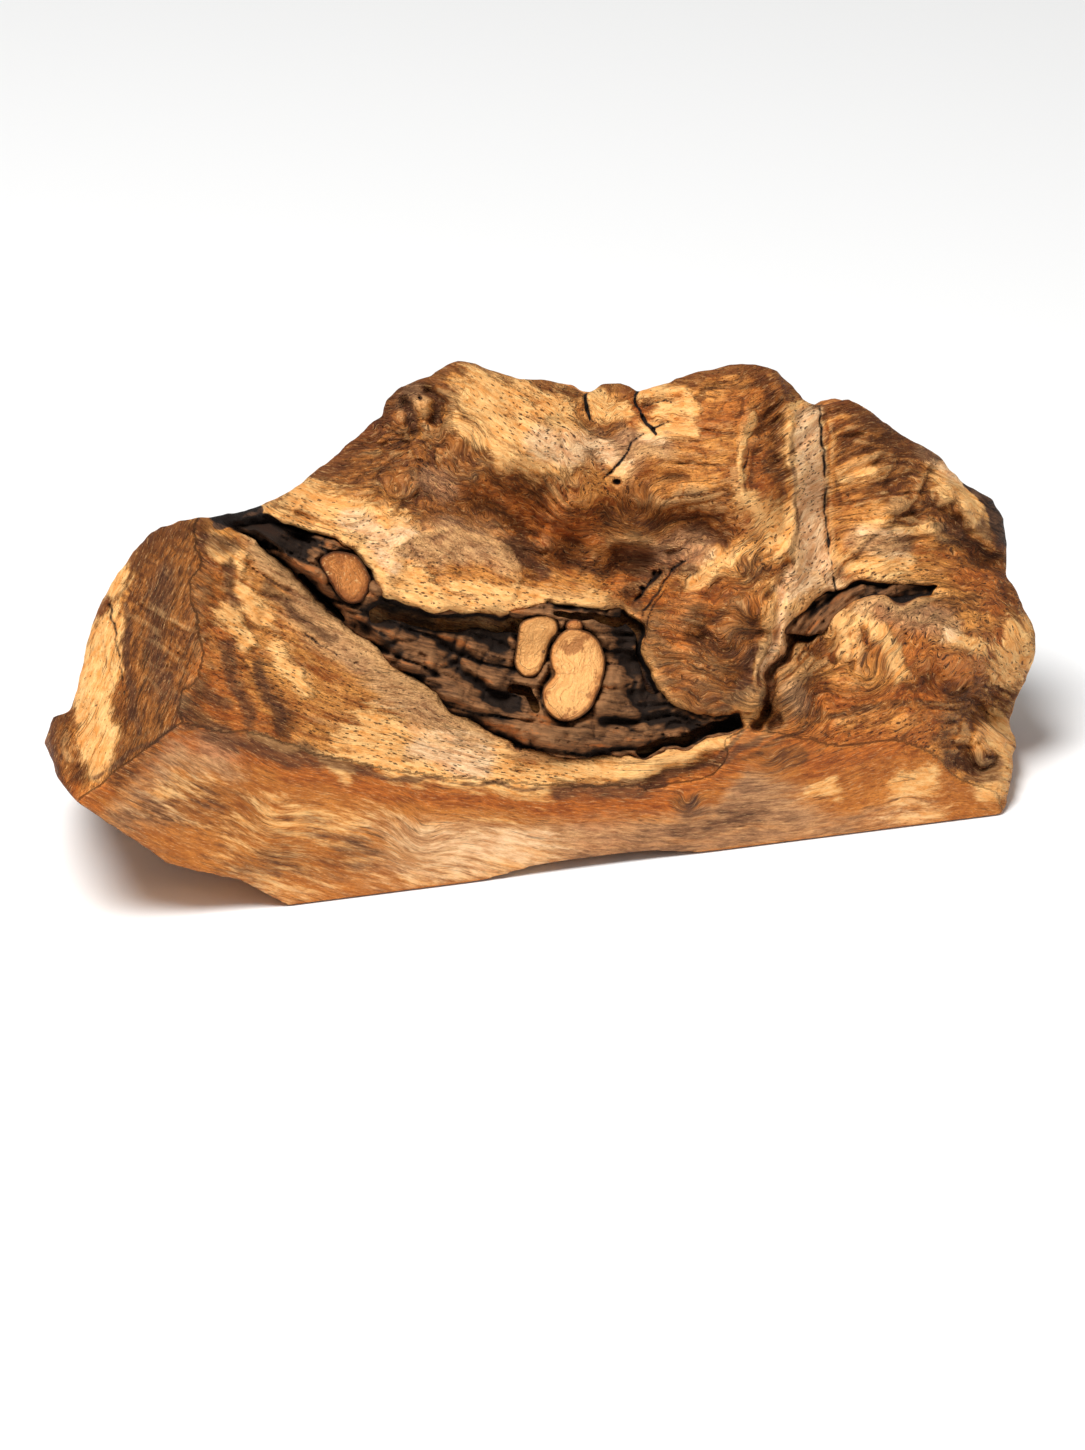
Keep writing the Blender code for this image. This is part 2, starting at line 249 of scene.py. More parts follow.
# the run of the fibres: s goes along them and t across them
flow = {
    # across, up, direction of the fibres in degrees
    "samples": [
        # sawn front
        (-140, -25, -28), (-100, -25, -24), (-60, -35, -18), (-20, -35, -10), (20, -35, 2),
        (60, -30, 12), (100, -22, 22), (140, -20, 26), (80, -10, 20), (120, -6, 22),
        # left of the slope, which the end facet hides
        (-122, 55, -54), (-125, 30, -52), (-122, 10, -44), (-150, 10, -44), (-118, -4, -30),
        # long slope
        (-105, 60, -50), (-95, 35, -50), (-75, 20, -42), (-50, 0, -30), (-20, -12, -14), (10, -16, -4),
        (40, -14, 8), (-90, 5, -30), (-60, -10, -16),
        # lip and left mass
        (-85, 72, -32), (-70, 64, -30), (-55, 50, -26), (-30, 42, -14), (0, 42, -4), (20, 44, -6),
        (-60, 85, 24), (-45, 70, -8), (-30, 58, -16), (-5, 56, -20), (-50, 100, 40), (-30, 90, -30),
        (-10, 80, -24), (10, 92, -14), (-10, 105, -16), (10, 108, -12),
        # hollow and saddle
        (5, 66, -50), (20, 76, 40), (20, 60, -40), (30, 100, 30), (30, 85, 44),
        # right ridge and nose
        (50, 105, 8), (50, 85, 14), (60, 70, 20), (45, 60, 36), (40, 45, -60), (50, 30, -50),
        (62, 44, 50), (70, 20, -110), (60, 15, -40), (75, 60, 50),
        # channel, right block
        (88, 95, 84), (88, 60, 82), (82, 40, 60), (105, 90, 26), (120, 75, 16), (108, 60, 6), (100, 75, 14),
        (135, 62, 14), (142, 75, -40), (116, 100, 6), (130, 92, -40),
        # right lobe
        (95, 25, 20), (115, 30, 30), (135, 30, -30), (155, 25, -70), (100, 5, 12), (130, 5, -10),
        (150, 0, -60), (85, 5, 50), (75, -5, 24),
        # bark
        (-80, 58, -48), (-55, 32, -42), (-30, 16, -32), (-5, 5, -18), (20, -5, -4), (40, 0, 30),
    ],
    # across, up, radius, strength: the fibres bend round these
    "eyes": [
        (-48, 77, 5, 5), (8, 72, 9, 4), (66, 50, 6, 5), (-26, 96, 9, -6), (48, -26, 5, 4),
        (75, -12, 7, 3), (135, 12, 8, 6), (108, 16, 8, 7),
        (92, 10, 8, -6), (145, -13, 6, 4), (60, 25, 9, 7), (70, 36, 7, 6), (52, 6, 7, 5),
        (30, 70, 9, 7), (-90, -32, 14, 5), (-40, -38, 12, 5),
    ],
}


def fitSlopes(slopeU, slopeV):
    # the sheet whose slopes are nearest to those asked for
    meanU, meanV = slopeU.mean(), slopeV.mean()
    wide = np.pad(slopeU - meanU, ((0, len(tableU)), (0, len(tableV))))
    tall = np.pad(slopeV - meanV, ((0, len(tableU)), (0, len(tableV))))
    ku = np.fft.fftfreq(wide.shape[0], tableStep)[:, None] * 2j * math.pi
    kv = np.fft.fftfreq(wide.shape[1], tableStep)[None, :] * 2j * math.pi
    square = ku**2 + kv**2
    square[0, 0] = 1
    sheet = np.fft.ifft2((ku * np.fft.fft2(wide) + kv * np.fft.fft2(tall)) / square).real
    return sheet[: len(tableU), : len(tableV)] + meanU * gridU + meanV * gridV


def flowTables():
    east, north, total = 0.0, 0.0, 0.0
    for u, v, angle in flow["samples"]:
        weight = 1 / ((gridU - u) ** 2 + (gridV - v) ** 2 + 16) ** 1.6
        east = east + weight * math.cos(math.radians(angle))
        north = north + weight * math.sin(math.radians(angle))
        total = total + weight
    size = np.hypot(east, north) + 1e-9
    east, north = east / size, north / size
    along, across = fitSlopes(east, north), fitSlopes(-north, east)
    for u, v, radius, strength in flow["eyes"]:
        across += strength * np.exp(-((gridU - u) ** 2 + (gridV - v) ** 2) / (0.7 * radius) ** 2)
    return along, across


grainS, grainT = flowTables()
grainGrid = np.column_stack([grainS.ravel(), grainT.ravel(), np.zeros(gridU.size)])
print("grain drawn")


def grainNoise(length, width, seed=0):
    return lumps(grainGrid, (length, width, 1), seed).reshape(gridU.shape)


# the stains and the painted shade of the show face: each stroke is a radius and the points it passes,
# and a negative radius fills the outline that its points make
paint = {
    "pale": [
        (-3, [(-140, 43), (-146, 35), (-152, 18), (-154.7, 6.6), (-153.8, -8.5), (-149.7, -17),
            (-147, -15), (-148, -5), (-145.5, 5), (-140.4, 13), (-138, 18), (-138.8, 30)]),
        (-2.5, [(81.7, 104), (92, 105.6), (93.6, 81), (94, 44.5), (81.7, 41), (84.3, 67.7),
            (83.3, 90.8)]),
        (6, [(-1, 91), (8, 88)]), (7, [(157, 28), (154, 18)]),
        (1.4, [(-96, -2), (-80, -8), (-60, -12), (-36, -14)]),
        (3.5, [(-54, 39), (-37, 40), (-21, 39), (-1, 41), (19, 41)]),
        (2.5, [(-52, 45), (-34, 44), (-17, 45), (-1, 43)]),
        (4, [(-91, 70), (-77, 66), (-67, 61), (-55, 54), (-52, 46)]),
        (5, [(-83, 76), (-70, 74), (-60, 69), (-47, 64)]),
        (4, [(-70, 71), (-57, 64), (-49, 54), (-40, 46)]),
        (5, [(-24, 107), (-14, 101), (-1, 94), (7, 89)]),
        (6, [(-21, 112), (-7, 107), (6, 102), (11, 94)]),
        (3, [(-29, 101), (-21, 94), (-12, 87), (-4, 85), (6, 85)]),
        (3.5, [(17, 109), (19, 104), (27, 104)]), (3, [(35, 109), (45, 109), (49, 104), (39, 102)]),
        (4, [(36, 97), (49, 98)]), (1.2, [(70, 101), (68, 94), (65, 89), (67, 81)]),
        (4, [(67, 74), (75, 68), (80, 61)]), (4, [(77, 59), (82, 64), (81, 71)]),
        (5, [(85, 104), (85, 94), (87, 81), (89, 68), (90, 54), (92, 48)]), (6, [(85, 48), (80, 41)]),
        (3.5, [(79, 36), (76, 26), (73, 18)]), (3, [(84, 52), (92, 48), (95, 44)]),
        (2.5, [(100, 82), (108, 84)]), (3.5, [(100, 53), (111, 51), (120, 52)]),
        (2.2, [(106, 65), (118, 63), (128, 65)]), (4.5, [(98, 34), (101, 27)]),
        (3, [(105, 36), (113, 29), (117, 18)]), (4, [(131, 84), (139, 76), (146, 68)]),
        (3, [(154, 31), (161, 28), (162, 21)]), (5, [(151, 2), (153, -12), (148, -21)]),
        (4, [(-143, 45), (-138, 50)]), (3.5, [(-148, 28), (-149, 12), (-149, -5)]),
        (3.5, [(-146, 8), (-144, -2), (-148, -15)]), (2.5, [(-88, 26), (-84, 18), (-78, 10)]),
        (3.5, [(-100, 46), (-92, 36)]), (3.5, [(-104, 38), (-98, 28)]), (3, [(134, 30), (144, 26)]),
        (5, [(-40, -15), (-21, -17), (-1, -19)]), (4, [(-47, -7), (-31, -13), (-14, -15)]),
        (6, [(-64, -5), (-47, -12)]), (3.5, [(6, -16), (26, -16), (45, -11), (59, -5)]),
        (4, [(49, 48), (59, 54), (67, 58)]), (3, [(19, 92), (26, 84)]), (3, [(-70, -12), (-65, -16)]),
        (3, [(-108, 59), (-100, 54)]), (4, [(82, -25), (95, -21)]),
        (6, [(-56, 0), (-36, -8), (-14, -13)]), (9, [(-12, 98), (2, 90)]), (4, [(118, -21), (128, -18)]),
    ],
    "brown": [
        (-3, [(48.7, 22), (68.5, 30), (70.8, 11.5), (57, 1), (48.7, 6.6)]),
        (-5, [(99, 104), (111.4, 102), (123, 90.8), (128, 77.6), (122, 70), (112, 84)]),
        (-4, [(-125, 65), (-134, 55), (-137, 42), (-136, 28), (-135.5, 15), (-134, -5), (-127, -6),
            (-121, 1), (-120, 10), (-116, 35), (-116, 60)]),
        (4, [(36, 36), (39, 26), (44, 17)]), (4, [(50, 36), (54, 26), (52, 14)]),
        (3.5, [(62, 40), (58, 30)]), (1.8, [(104, 74), (114, 76), (126, 78)]),
        # the wide stroke from (-52, 82) to (-28, 84) is painted shade under the left lobe's lower edge
        (8, [(-52, 82), (-38, 84), (-28, 84)]), (1.2, [(66, -12), (90, 2), (112, 6), (134, 6)]),
        (2, [(74, -2), (80, 6), (90, 4)]),
        (9, [(-125, 59), (-121, 51), (-125, 38), (-128, 25), (-130, 8)]),
        (8, [(-116, 59), (-115, 45), (-120, 28), (-125, 8), (-133, -7)]),
        (7, [(-130, 41), (-133, 25), (-134, 8), (-138, -12)]),
        (5, [(-116, 35), (-120, 18), (-126, 2), (-139, -16)]),
        # the first stroke here, along v 81 to 86, also paints the shade under the left lobe
        (5, [(-70, 81), (-57, 84), (-40, 86), (-24, 84)]), (6, [(-60, 89), (-47, 91), (-34, 87)]),
        (6, [(-37, 111), (-31, 107), (-24, 102)]), (5, [(-29, 92), (-21, 89), (-17, 87)]),
        (5, [(-34, 97), (-27, 89), (-31, 84)]), (6, [(-14, 82), (-1, 81), (6, 84)]),
        (6, [(-42, 74), (-31, 73), (-17, 69)]), (5, [(-7, 59), (1, 56), (12, 58)]),
        (5, [(6, 99), (19, 94), (29, 94)]), (5, [(22, 68), (32, 64), (45, 68), (59, 64)]),
        (5, [(32, 74), (45, 73), (59, 74)]), (6, [(19, 54), (32, 59), (49, 63)]),
        (4, [(75, 111), (77, 97), (78, 84)]), (3, [(67, 53), (70, 50), (73, 51)]),
        (5, [(52, 21), (62, 25), (67, 35)]), (6, [(52, 12), (62, 15), (70, 25)]),
        (4, [(65, 41), (69, 28), (70, 12)]), (2, [(104, 99), (110, 97), (118, 91)]),
        (5, [(101, 94), (111, 92), (121, 84)]), (5, [(113, 78), (125, 74), (136, 73)]),
        (4, [(118, 68), (131, 69), (138, 64)]), (4, [(131, 91), (138, 81), (143, 74)]),
        (1.5, [(138, 54), (146, 54), (151, 59)]), (3, [(111, 102), (118, 97), (128, 87)]),
        (3, [(120, 41), (131, 38), (141, 41)]), (6, [(75, 25), (82, 20), (87, 25)]),
        (5, [(75, 12), (85, 12), (88, 18)]), (4, [(138, 8), (148, 12), (151, 8)]),
        (3.5, [(138, -13), (146, -15), (148, -12)]), (3, [(134, 0), (144, 1)]),
        (4, [(-49, 112), (-44, 109), (-47, 101)]), (4, [(-54, 101), (-47, 94)]),
        (3, [(-93, 15), (-88, 7), (-85, -2)]), (3, [(-102, 35), (-100, 28)]),
        (4, [(-161, 3), (-159, -5), (-161, -13)]), (3, [(-154, 8), (-151, 12)]),
        (3, [(-153, -7), (-154, -16)]), (3, [(45, -26), (49, -25)]), (3, [(75, -12), (85, -10)]),
        (3, [(131, -5), (138, -8)]), (4, [(16, 35), (19, 37)]),
    ],
    "rust": [
        (2.5, [(-113.7, 56.6), (-112, 43), (-111, 30), (-113.7, 18), (-118, 6.6), (-121, 0)]),
        (-4, [(27, 44.5), (39, 44.5), (52, 46), (65, 48), (71, 41), (71, 21), (70, 11.5), (65, 6.6),
            (57, 1), (52, 1.6), (45, 8), (39, 20), (32, 30)]),
        (3, [(-120, -5), (-100, -10), (-80, -16), (-50, -23), (-20, -26), (10, -28), (40, -24),
            (66, -14)]),
        (7, [(112, 26), (126, 20)]), (3, [(84, -6), (110, -4)]),
        (5, [(-111, 54), (-110, 41), (-115, 25), (-118, 8), (-120, -1)]), (4, [(-108, 45), (-106, 38)]),
        (3, [(-120, -3), (-133, -13), (-144, -21)]),
        (2.5, [(-113, -3), (-93, -9), (-70, -14), (-47, -19), (-21, -22)]),
        (4, [(-159, -18), (-153, -25), (-148, -30)]), (4, [(-143, 28), (-139, 15), (-137, 2)]),
        (3, [(-144, 35), (-138, 21), (-136, 8)]), (6, [(-17, 74), (-4, 71), (2, 64)]),
        (6, [(-4, 74), (6, 68), (12, 64)]), (7, [(-7, 66), (6, 59), (16, 64)]),
        (5, [(-24, 78), (-14, 73)]), (5, [(-70, 91), (-60, 96), (-50, 101)]),
        (7, [(-46, 84), (-36, 81), (-22, 75)]), (6, [(52, 41), (57, 28), (59, 15)]),
        (6, [(38, 34), (42, 24), (48, 14)]), (5, [(49, 12), (59, 8), (68, 15)]),
        (4, [(111, 35), (124, 30)]), (6, [(118, 21), (134, 21), (151, 25)]),
        (5, [(101, 8), (118, 8), (138, 12)]), (5, [(138, 51), (148, 48), (151, 41)]),
        (6, [(78, 8), (95, 7), (108, 8)]), (6, [(32, 104), (49, 97), (65, 104)]),
        (6, [(72, 91), (73, 78)]), (5, [(26, 45), (35, 51), (49, 54)]),
        (6, [(92, -12), (111, -5), (131, -2)]), (6, [(52, -12), (72, -5), (92, -3)]),
        (5, [(-105, 41), (-102, 21), (-108, 8)]), (4, [(-100, 8), (-93, -2), (-87, -5)]),
        (5, [(-110, 8), (-100, 2)]), (6, [(-113, -48), (-100, -50), (-80, -54)]),
        (5, [(-60, -53), (-40, -48), (-21, -41)]), (5, [(-130, -35), (-120, -43)]),
        (6, [(6, -28), (26, -25), (45, -21)]), (5, [(72, 111), (73, 97)]),
    ],
    "grey": [
        (5, [(-93, 59), (-80, 46), (-67, 35), (-54, 23)]),
        (6, [(-80, 38), (-64, 25), (-47, 12), (-34, 2)]), (4, [(-97, 68), (-90, 59), (-83, 51)]),
        (5, [(-54, 15), (-37, 3), (-21, -7)]), (7, [(-120, -12), (-126, -21), (-133, -28)]),
        (7, [(-113, -15), (-116, -25), (-123, -31)]), (6, [(-108, -8), (-105, -18)]),
        (4, [(-14, -43), (-1, -40), (12, -40), (19, -40)]), (3, [(-21, -46), (-7, -45)]),
        (3, [(-34, -49), (-21, -45)]), (5, [(6, 91), (19, 91), (29, 89)]),
        (5, [(-47, 61), (-31, 59), (-14, 58)]), (5, [(-34, 64), (-21, 61), (-11, 56)]),
        (3, [(-55, 59), (-49, 53)]), (3, [(-64, 68), (-47, 59), (-34, 54)]),
        (5, [(32, 54), (42, 58), (52, 59)]),
        (-3, [(82, 104), (92, 106), (93, 80), (95, 46), (88, 44), (78, 38), (76, 44), (83, 56),
            (83, 90)]),
        (5, [(84, 46), (94, 48)]), (3, [(80, 36), (77, 26), (74, 18)]), (5, [(-1, 93), (8, 89)]),
        (4, [(-40, -8), (-20, -13)]), (4, [(108, 40), (121, 36), (134, 33)]), (4, [(-37, 82), (-32, 78)]),
        (4, [(128, 91), (134, 86), (143, 81)]), (4, [(27, 94), (39, 91)]), (3, [(82, 12), (85, 8)]),
        (4, [(-42, 109), (-44, 106)]), (4, [(105, 61), (118, 58)]),
    ],
    # dark strokes: most follow carved creases and grooves and the crease between the end facet and the slope,
    # and are painted shade; a few are dark stains
    "creaseShadeAndStain": [
        (1.3, [(-37, 111), (-34, 106), (-36, 100)]), (1.2, [(-45, 106), (-42, 98)]),
        (1.6, [(47, -28), (50, -24)]), (3.6, [(136, -12), (148, -14)]), (1.6, [(140, -18), (150, -17)]),
        (1.2, [(58, -14), (64, -9), (72, -4)]), (1.4, [(26, -19), (44, -17)]),
        (1, [(74, 30), (72, 18), (72, 8)]), (1.2, [(40, 50), (33, 44), (31, 38)]),
        (1.4, [(-12, 60), (-5, 54), (2, 51)]), (1, [(128, 66), (138, 64), (148, 56)]),
        (1.4, [(132, 62), (144, 60)]), (2, [(146, 66), (150, 60)]),
        (0.8, [(-148, -17), (-138, -11.5), (-129, -6), (-122, 0), (-113, -1.5), (-99.6, -6), (-86, -9.8),
            (-72.9, -13.5), (-56, -16.8), (-36, -18.5), (-3, -20.5), (12, -21), (26, -19), (43, -16.5),
            (57, -13), (63, -6), (67, -1)]),
        (1.2, [(-138, 40), (-137, 20), (-134, -4)]), (0.7, [(82, 97), (83, 80), (83.5, 66), (82, 54)]),
        (3.4, [(-124, 50), (-128, 30), (-126, 12)]), (2.5, [(60, 5), (68, 12), (70, 24)]),
        (2, [(28, 42), (36, 50), (50, 52)]), (3, [(-118, 4), (-108, -2), (-97, -7), (-80, -11)]),
        (3, [(-97, -3), (-83, -8), (-70, -12)]), (2, [(-73, -13), (-57, -16)]),
        (3, [(-113, 12), (-105, 7)]), (2.4, [(-104, 26), (-102, 15), (-97, 3)]),
        (3, [(-120, 8), (-113, 1)]), (2, [(-105, 54), (-102, 41)]),
        (2.5, [(6, -22), (26, -22), (39, -20)]), (2, [(-94, 20), (-91, 8), (-87, 1)]),
        (2.5, [(-111, 61), (-103, 59)]), (2, [(-90, 45), (-80, 35), (-70, 28)]),
    ],
    "bark": [
        (2.6, [(141, 80), (147, 75), (151, 67), (154, 60)]), (2, [(-106, 66), (-100, 68), (-94, 70)]),
    ],
    "pits": [
        (14, [(-47, -12), (-21, -16), (-1, -18)]), (12, [(-70, 2), (-47, -5)]),
        (10, [(-80, 69), (-60, 59)]), (10, [(-40, 45), (-7, 41)]), (12, [(16, 78), (22, 74)]),
        (14, [(16, 51), (26, 48)]), (12, [(85, 97), (87, 68), (90, 48)]), (12, [(101, 51), (118, 50)]),
        (16, [(105, 28), (128, 28), (151, 28)]), (12, [(-7, 104), (12, 97)]), (12, [(68, 68), (78, 54)]),
        (10, [(78, 35), (85, 8)]), (14, [(92, -12), (118, -8)]), (12, [(138, 54), (151, 41)]),
        (10, [(-100, 25), (-80, 8)]), (10, [(-47, 97), (-40, 87)]), (14, [(-21, 28), (-14, 8)]),
    ],
    "figure": [
        (16, [(105, 28), (128, 25), (151, 28)]), (14, [(6, 73), (16, 71)]), (12, [(78, 18), (85, 12)]),
        (14, [(52, 51), (72, 54)]), (12, [(-47, 107), (-34, 101)]), (14, [(131, 74), (148, 54)]),
        (10, [(16, 107), (26, 104)]), (14, [(39, 28), (52, 21)]), (10, [(-49, 77), (-48, 77)]),
        (10, [(-21, 81), (-19, 80)]),
    ],
}

carving = {
    # half width, depth, points; a negative depth stands proud
    "cracks": [
        (0.7, 3, [(34, 97), (30, 92), (26, 87), (20, 81)]),
        (0.8, 3.5, [(13, 112), (14, 107), (16, 101)]),
        (0.9, 4, [(33, 112), (32, 107), (34, 101), (37, 96)]),
        (0.6, 2.5, [(34, 105), (39, 106), (44, 105)]), (0.6, 2.5, [(36, 98), (42, 99)]),
        (0.7, 2.5, [(91, 108), (92, 90), (93, 77), (94, 60), (95, 50), (96, 43)]),
        (0.9, 4, [(38, 50), (34, 45), (31, 40)]), (0.7, 3, [(48, 56), (42, 50), (38, 44), (33, 36)]),
        (0.6, 2, [(58, 54), (50, 51), (45, 45)]), (0.6, 2.5, [(40, 44), (36, 38), (34, 30)]),
        (0.6, 2.2, [(-79, 31), (-73, 26), (-66, 22), (-61, 21)]),
        (0.6, 2, [(69, 91), (67, 84), (68, 78)]),
        (0.8, 2, [(-144, 40), (-141, 30), (-139, 18), (-138, 8)]),
        (0.5, 1.5, [(-146, 32), (-143, 20), (-141, 10)]),
        (0.5, 1.2, [(-34, -17), (-14, -20), (10, -22), (34, -22)]),
        (0.5, 1, [(-135, -27), (-124, -31)]), (0.5, 1, [(-112, -36), (-95, -44), (-84, -50)]),
        (0.4, 0.8, [(-96, -30), (-70, -37)]),
    ],
    "holes": [
        (1.3, 5, [(25, 81)]), (0.8, 4, [(16, 77)]), (0.8, 4, [(18, 70)]), (0.7, 3, [(10, 72)]),
        (0.6, 3, [(7, 73)]), (0.7, 3, [(-19, 81)]), (0.8, 3, [(-21, 78)]), (0.8, 4, [(-40, 107)]),
        (0.8, 3, [(-49, 74)]), (0.7, 3, [(-34, 99)]), (1.8, 7, [(33, 45)]), (1.1, 5, [(36, 50)]),
        (1.4, 7, [(-9, 34), (-8, 31)]), (0.8, 3, [(101, 76)]), (1, 4, [(115, 38)]),
        (0.8, 3, [(109, 22)]), (0.7, 3, [(68, 8)]), (0.6, 2.5, [(70, 9)]), (0.6, 2.5, [(66, 6)]),
        (0.8, 2.5, [(47, -26)]), (0.9, 3, [(120, 30)]), (0.7, 3, [(140, 12)]), (0.7, 3, [(17, 58)]),
        (0.7, 3, [(22, 55)]), (0.7, 3, [(26, 58)]), (0.8, 3, [(28, 53)]), (0.7, 3, [(14, 52)]),
        (0.8, 4, [(-147, 5)]), (0.7, 3, [(-136, -14)]),
    ],
    "swellings": [
        # folds on the left shoulder
        (5, -2.5, [(-36, 117), (-30, 112)]), (4, -2.5, [(-42, 113), (-38, 106)]),
        (4, -2.5, [(-49, 109), (-46, 100)]), (2, 4, [(-37, 111), (-34, 106), (-36, 100)]),
        (1.8, 3.4, [(-45, 106), (-42, 98)]),
        # the dark lobe, and the step at the end of the pale shelf
        (9, -3, [(-34, 104), (-26, 98), (-20, 90)]), (5, 1.6, [(-22, 90), (-14, 82), (-4, 79)]),
        (6, -1.6, [(-48, 62), (-30, 61), (-14, 58)]), (4, 2.2, [(-8, 64), (-6, 58), (-2, 52)]),
        (9, -2.5, [(8, 73)]), (8, -2, [(-4, 92), (8, 90)]),
        # the channel between its two walls, the crevice below it and the ribs right of that
        (6, -3.4, [(88, 108), (88.5, 90), (89, 74), (89, 54)]),
        (1.6, 1, [(83, 102), (84, 84), (84.5, 60)]),
        (2.5, -2.6, [(77, 115), (81, 99), (84, 84), (83, 68), (84, 52)]),
        (1.3, 5.5, [(71, 0), (73, 7), (75, 12), (77, 19), (80, 23), (82, 29)]),
        (2, 4.5, [(73, 5), (76, 2)]), (1, 1.6, [(102, 33), (103, 26), (102, 20)]),
        (0.9, 1.4, [(97, 30), (96, 22)]), (0.8, 1.2, [(106, 32), (108, 25)]),
        (6, -2.6, [(86, 12), (90, 18)]), (10, -3, [(112, 34), (126, 32), (138, 28)]),
        (3, 2.6, [(84, 26), (92, 26), (94, 30)]), (7, -2.5, [(46, 38), (42, 28), (48, 18), (60, 10)]),
        (3, 3, [(50, 48), (40, 44), (30, 40)]), (5, 3, [(26, 56), (34, 52), (42, 56), (52, 62)]),
        (7, -2.6, [(32, 80), (46, 80), (60, 84)]), (6, -3, [(6, 63), (20, 58), (28, 60)]),
        (5, 2.6, [(10, 56), (20, 52), (30, 52)]),
        # ridges of the right side
        (5, -1.8, [(35, 88), (52, 92), (66, 96)]), (4, 1.4, [(36, 82), (54, 84), (64, 88)]),
        (3, -1.5, [(66, 92), (64, 84), (66, 76)]), (5, -2, [(70, 72), (76, 66), (80, 58)]),
        (4, 2, [(60, 64), (50, 66), (40, 66)]), (6, -2, [(40, 72), (56, 74), (66, 70)]),
        (4, -1.8, [(112, 70), (124, 76)]), (4, -2, [(128, 64), (140, 66), (148, 62)]),
        (3, -2.2, [(132, 78), (136, 72)]), (3, -2.2, [(140, 70)]), (3, -1.8, [(146, 76)]),
        (3, 1.8, [(136, 66), (146, 56)]), (6, 2.5, [(122, 58), (136, 52), (150, 50)]),
        (5, -2, [(128, 54), (146, 46)]),
        # the nose and its spotted chip
        (7, -2, [(48, 34), (44, 22), (52, 14)]), (4, 1.8, [(58, 44), (54, 30), (62, 22)]),
        (3.5, -2.4, [(64, 8), (70, 10)]), (5, 2, [(72, 30), (70, 18)]),
        # the right lobe
        (8, -2.5, [(104, 32), (118, 30)]), (6, 2, [(96, 22), (92, 12)]),
        (5, -1.8, [(98, 30), (102, 14)]), (9, -2, [(136, 24), (150, 20)]),
        (6, 2.2, [(128, 12), (142, 8), (154, 2)]), (7, -2, [(148, -6), (150, -18)]),
        (5, 2, [(140, -14), (146, -12)]), (5, -1.6, [(84, 18), (82, 8)]),
        # the left end
        (5, -2.5, [(-160, 0), (-158, -10)]), (4, 2, [(-152, 2), (-150, -16)]),
        (7, -2, [(-146, 20), (-144, 0)]), (5, 1.6, [(-140, 24), (-137, 0)]),
        (4, -1.2, [(-110, 50), (-113, 30), (-118, 10)]),
        # the slope: faint ripples towards its foot
        (4, 0.9, [(-100, 28), (-92, 10), (-84, 0)]), (5, -0.9, [(-108, 18), (-98, 2), (-84, -6)]),
        (3, -1, [(-84, 24), (-78, 14)]), (6, -0.8, [(-70, 10), (-50, -4)]),
        # the strip of wood under the bark's right end
        (3, -1.6, [(30, -14), (48, -10), (60, -4)]), (3, 1.6, [(36, -19), (56, -14), (70, -10)]),
    ],
    "combed": [(96, 106), (112, 104), (126, 92), (130, 80), (124, 66), (96, 56)],
    "plates": [
        # chips and blocks with a sharp edge: rise and outline
        (1, [(67, 102), (71, 103), (71, 94), (69, 86), (69, 78), (66.5, 77), (64.5, 89), (66, 97)]),
        (1.5, [(80, 50), (90, 50.5), (94, 46), (92, 42), (85, 35), (83, 26), (77, 25), (80, 38)]),
        (2, [(72, 40), (77, 40.5), (75, 28), (72, 15), (70.5, 11), (71, 28)]),
        (1.6, [(94, 107), (112, 112), (126, 104), (130, 90), (124, 74), (110, 62), (95, 50)]),
        (1.3, [(-74, 84), (-60, 92), (-44, 92), (-40, 80), (-50, 68), (-66, 66), (-82, 72)]),
        (1.2, [(-54, 42), (-40, 38), (-20, 37), (-10, 40), (-6, 50), (-10, 60), (-30, 66), (-50, 60)]),
        (1.3, [(64, 11), (71, 12), (73, 8), (68, 4), (62, 6)]),
        (-1.4, [(34, 112), (44, 112), (46, 104), (40, 98), (34, 101)]),
        (1.2, [(96, 86), (112, 90), (118, 87), (112, 83), (98, 80)]),
        (1, [(98, 78), (114, 82), (112, 77), (99, 74)]),
        (1.4, [(128, 78), (134, 80), (137, 74), (131, 71)]),
        (1.5, [(138, 73), (146, 72), (146, 66), (138, 65)]),
        (-1.2, [(40, 57), (48, 60), (60, 62), (62, 55), (50, 51), (42, 50)]),
    ],
    "chipped": [
        # stepped splinters on the saddle and the channel's edge
        (1.4, -1.5, [(35, 109), (44, 110)]), (1.4, -1.2, [(36, 102), (46, 103)]),
        (1.2, -1.2, [(38, 95), (48, 96)]), (1.6, -1.8, [(68, 102), (66, 94)]),
        (1.6, -1.6, [(64, 84), (66, 76)]), (1.2, -1.4, [(98, 84), (110, 88)]),
        (1.2, -1.4, [(100, 80), (114, 84)]), (1.2, -1.4, [(104, 74), (116, 76)]),
        (1, -1.2, [(112, 92), (104, 94)]), (1, -1.2, [(100, 98), (112, 97)]),
        (1, -1.2, [(118, 68), (128, 68)]),
    ],
}

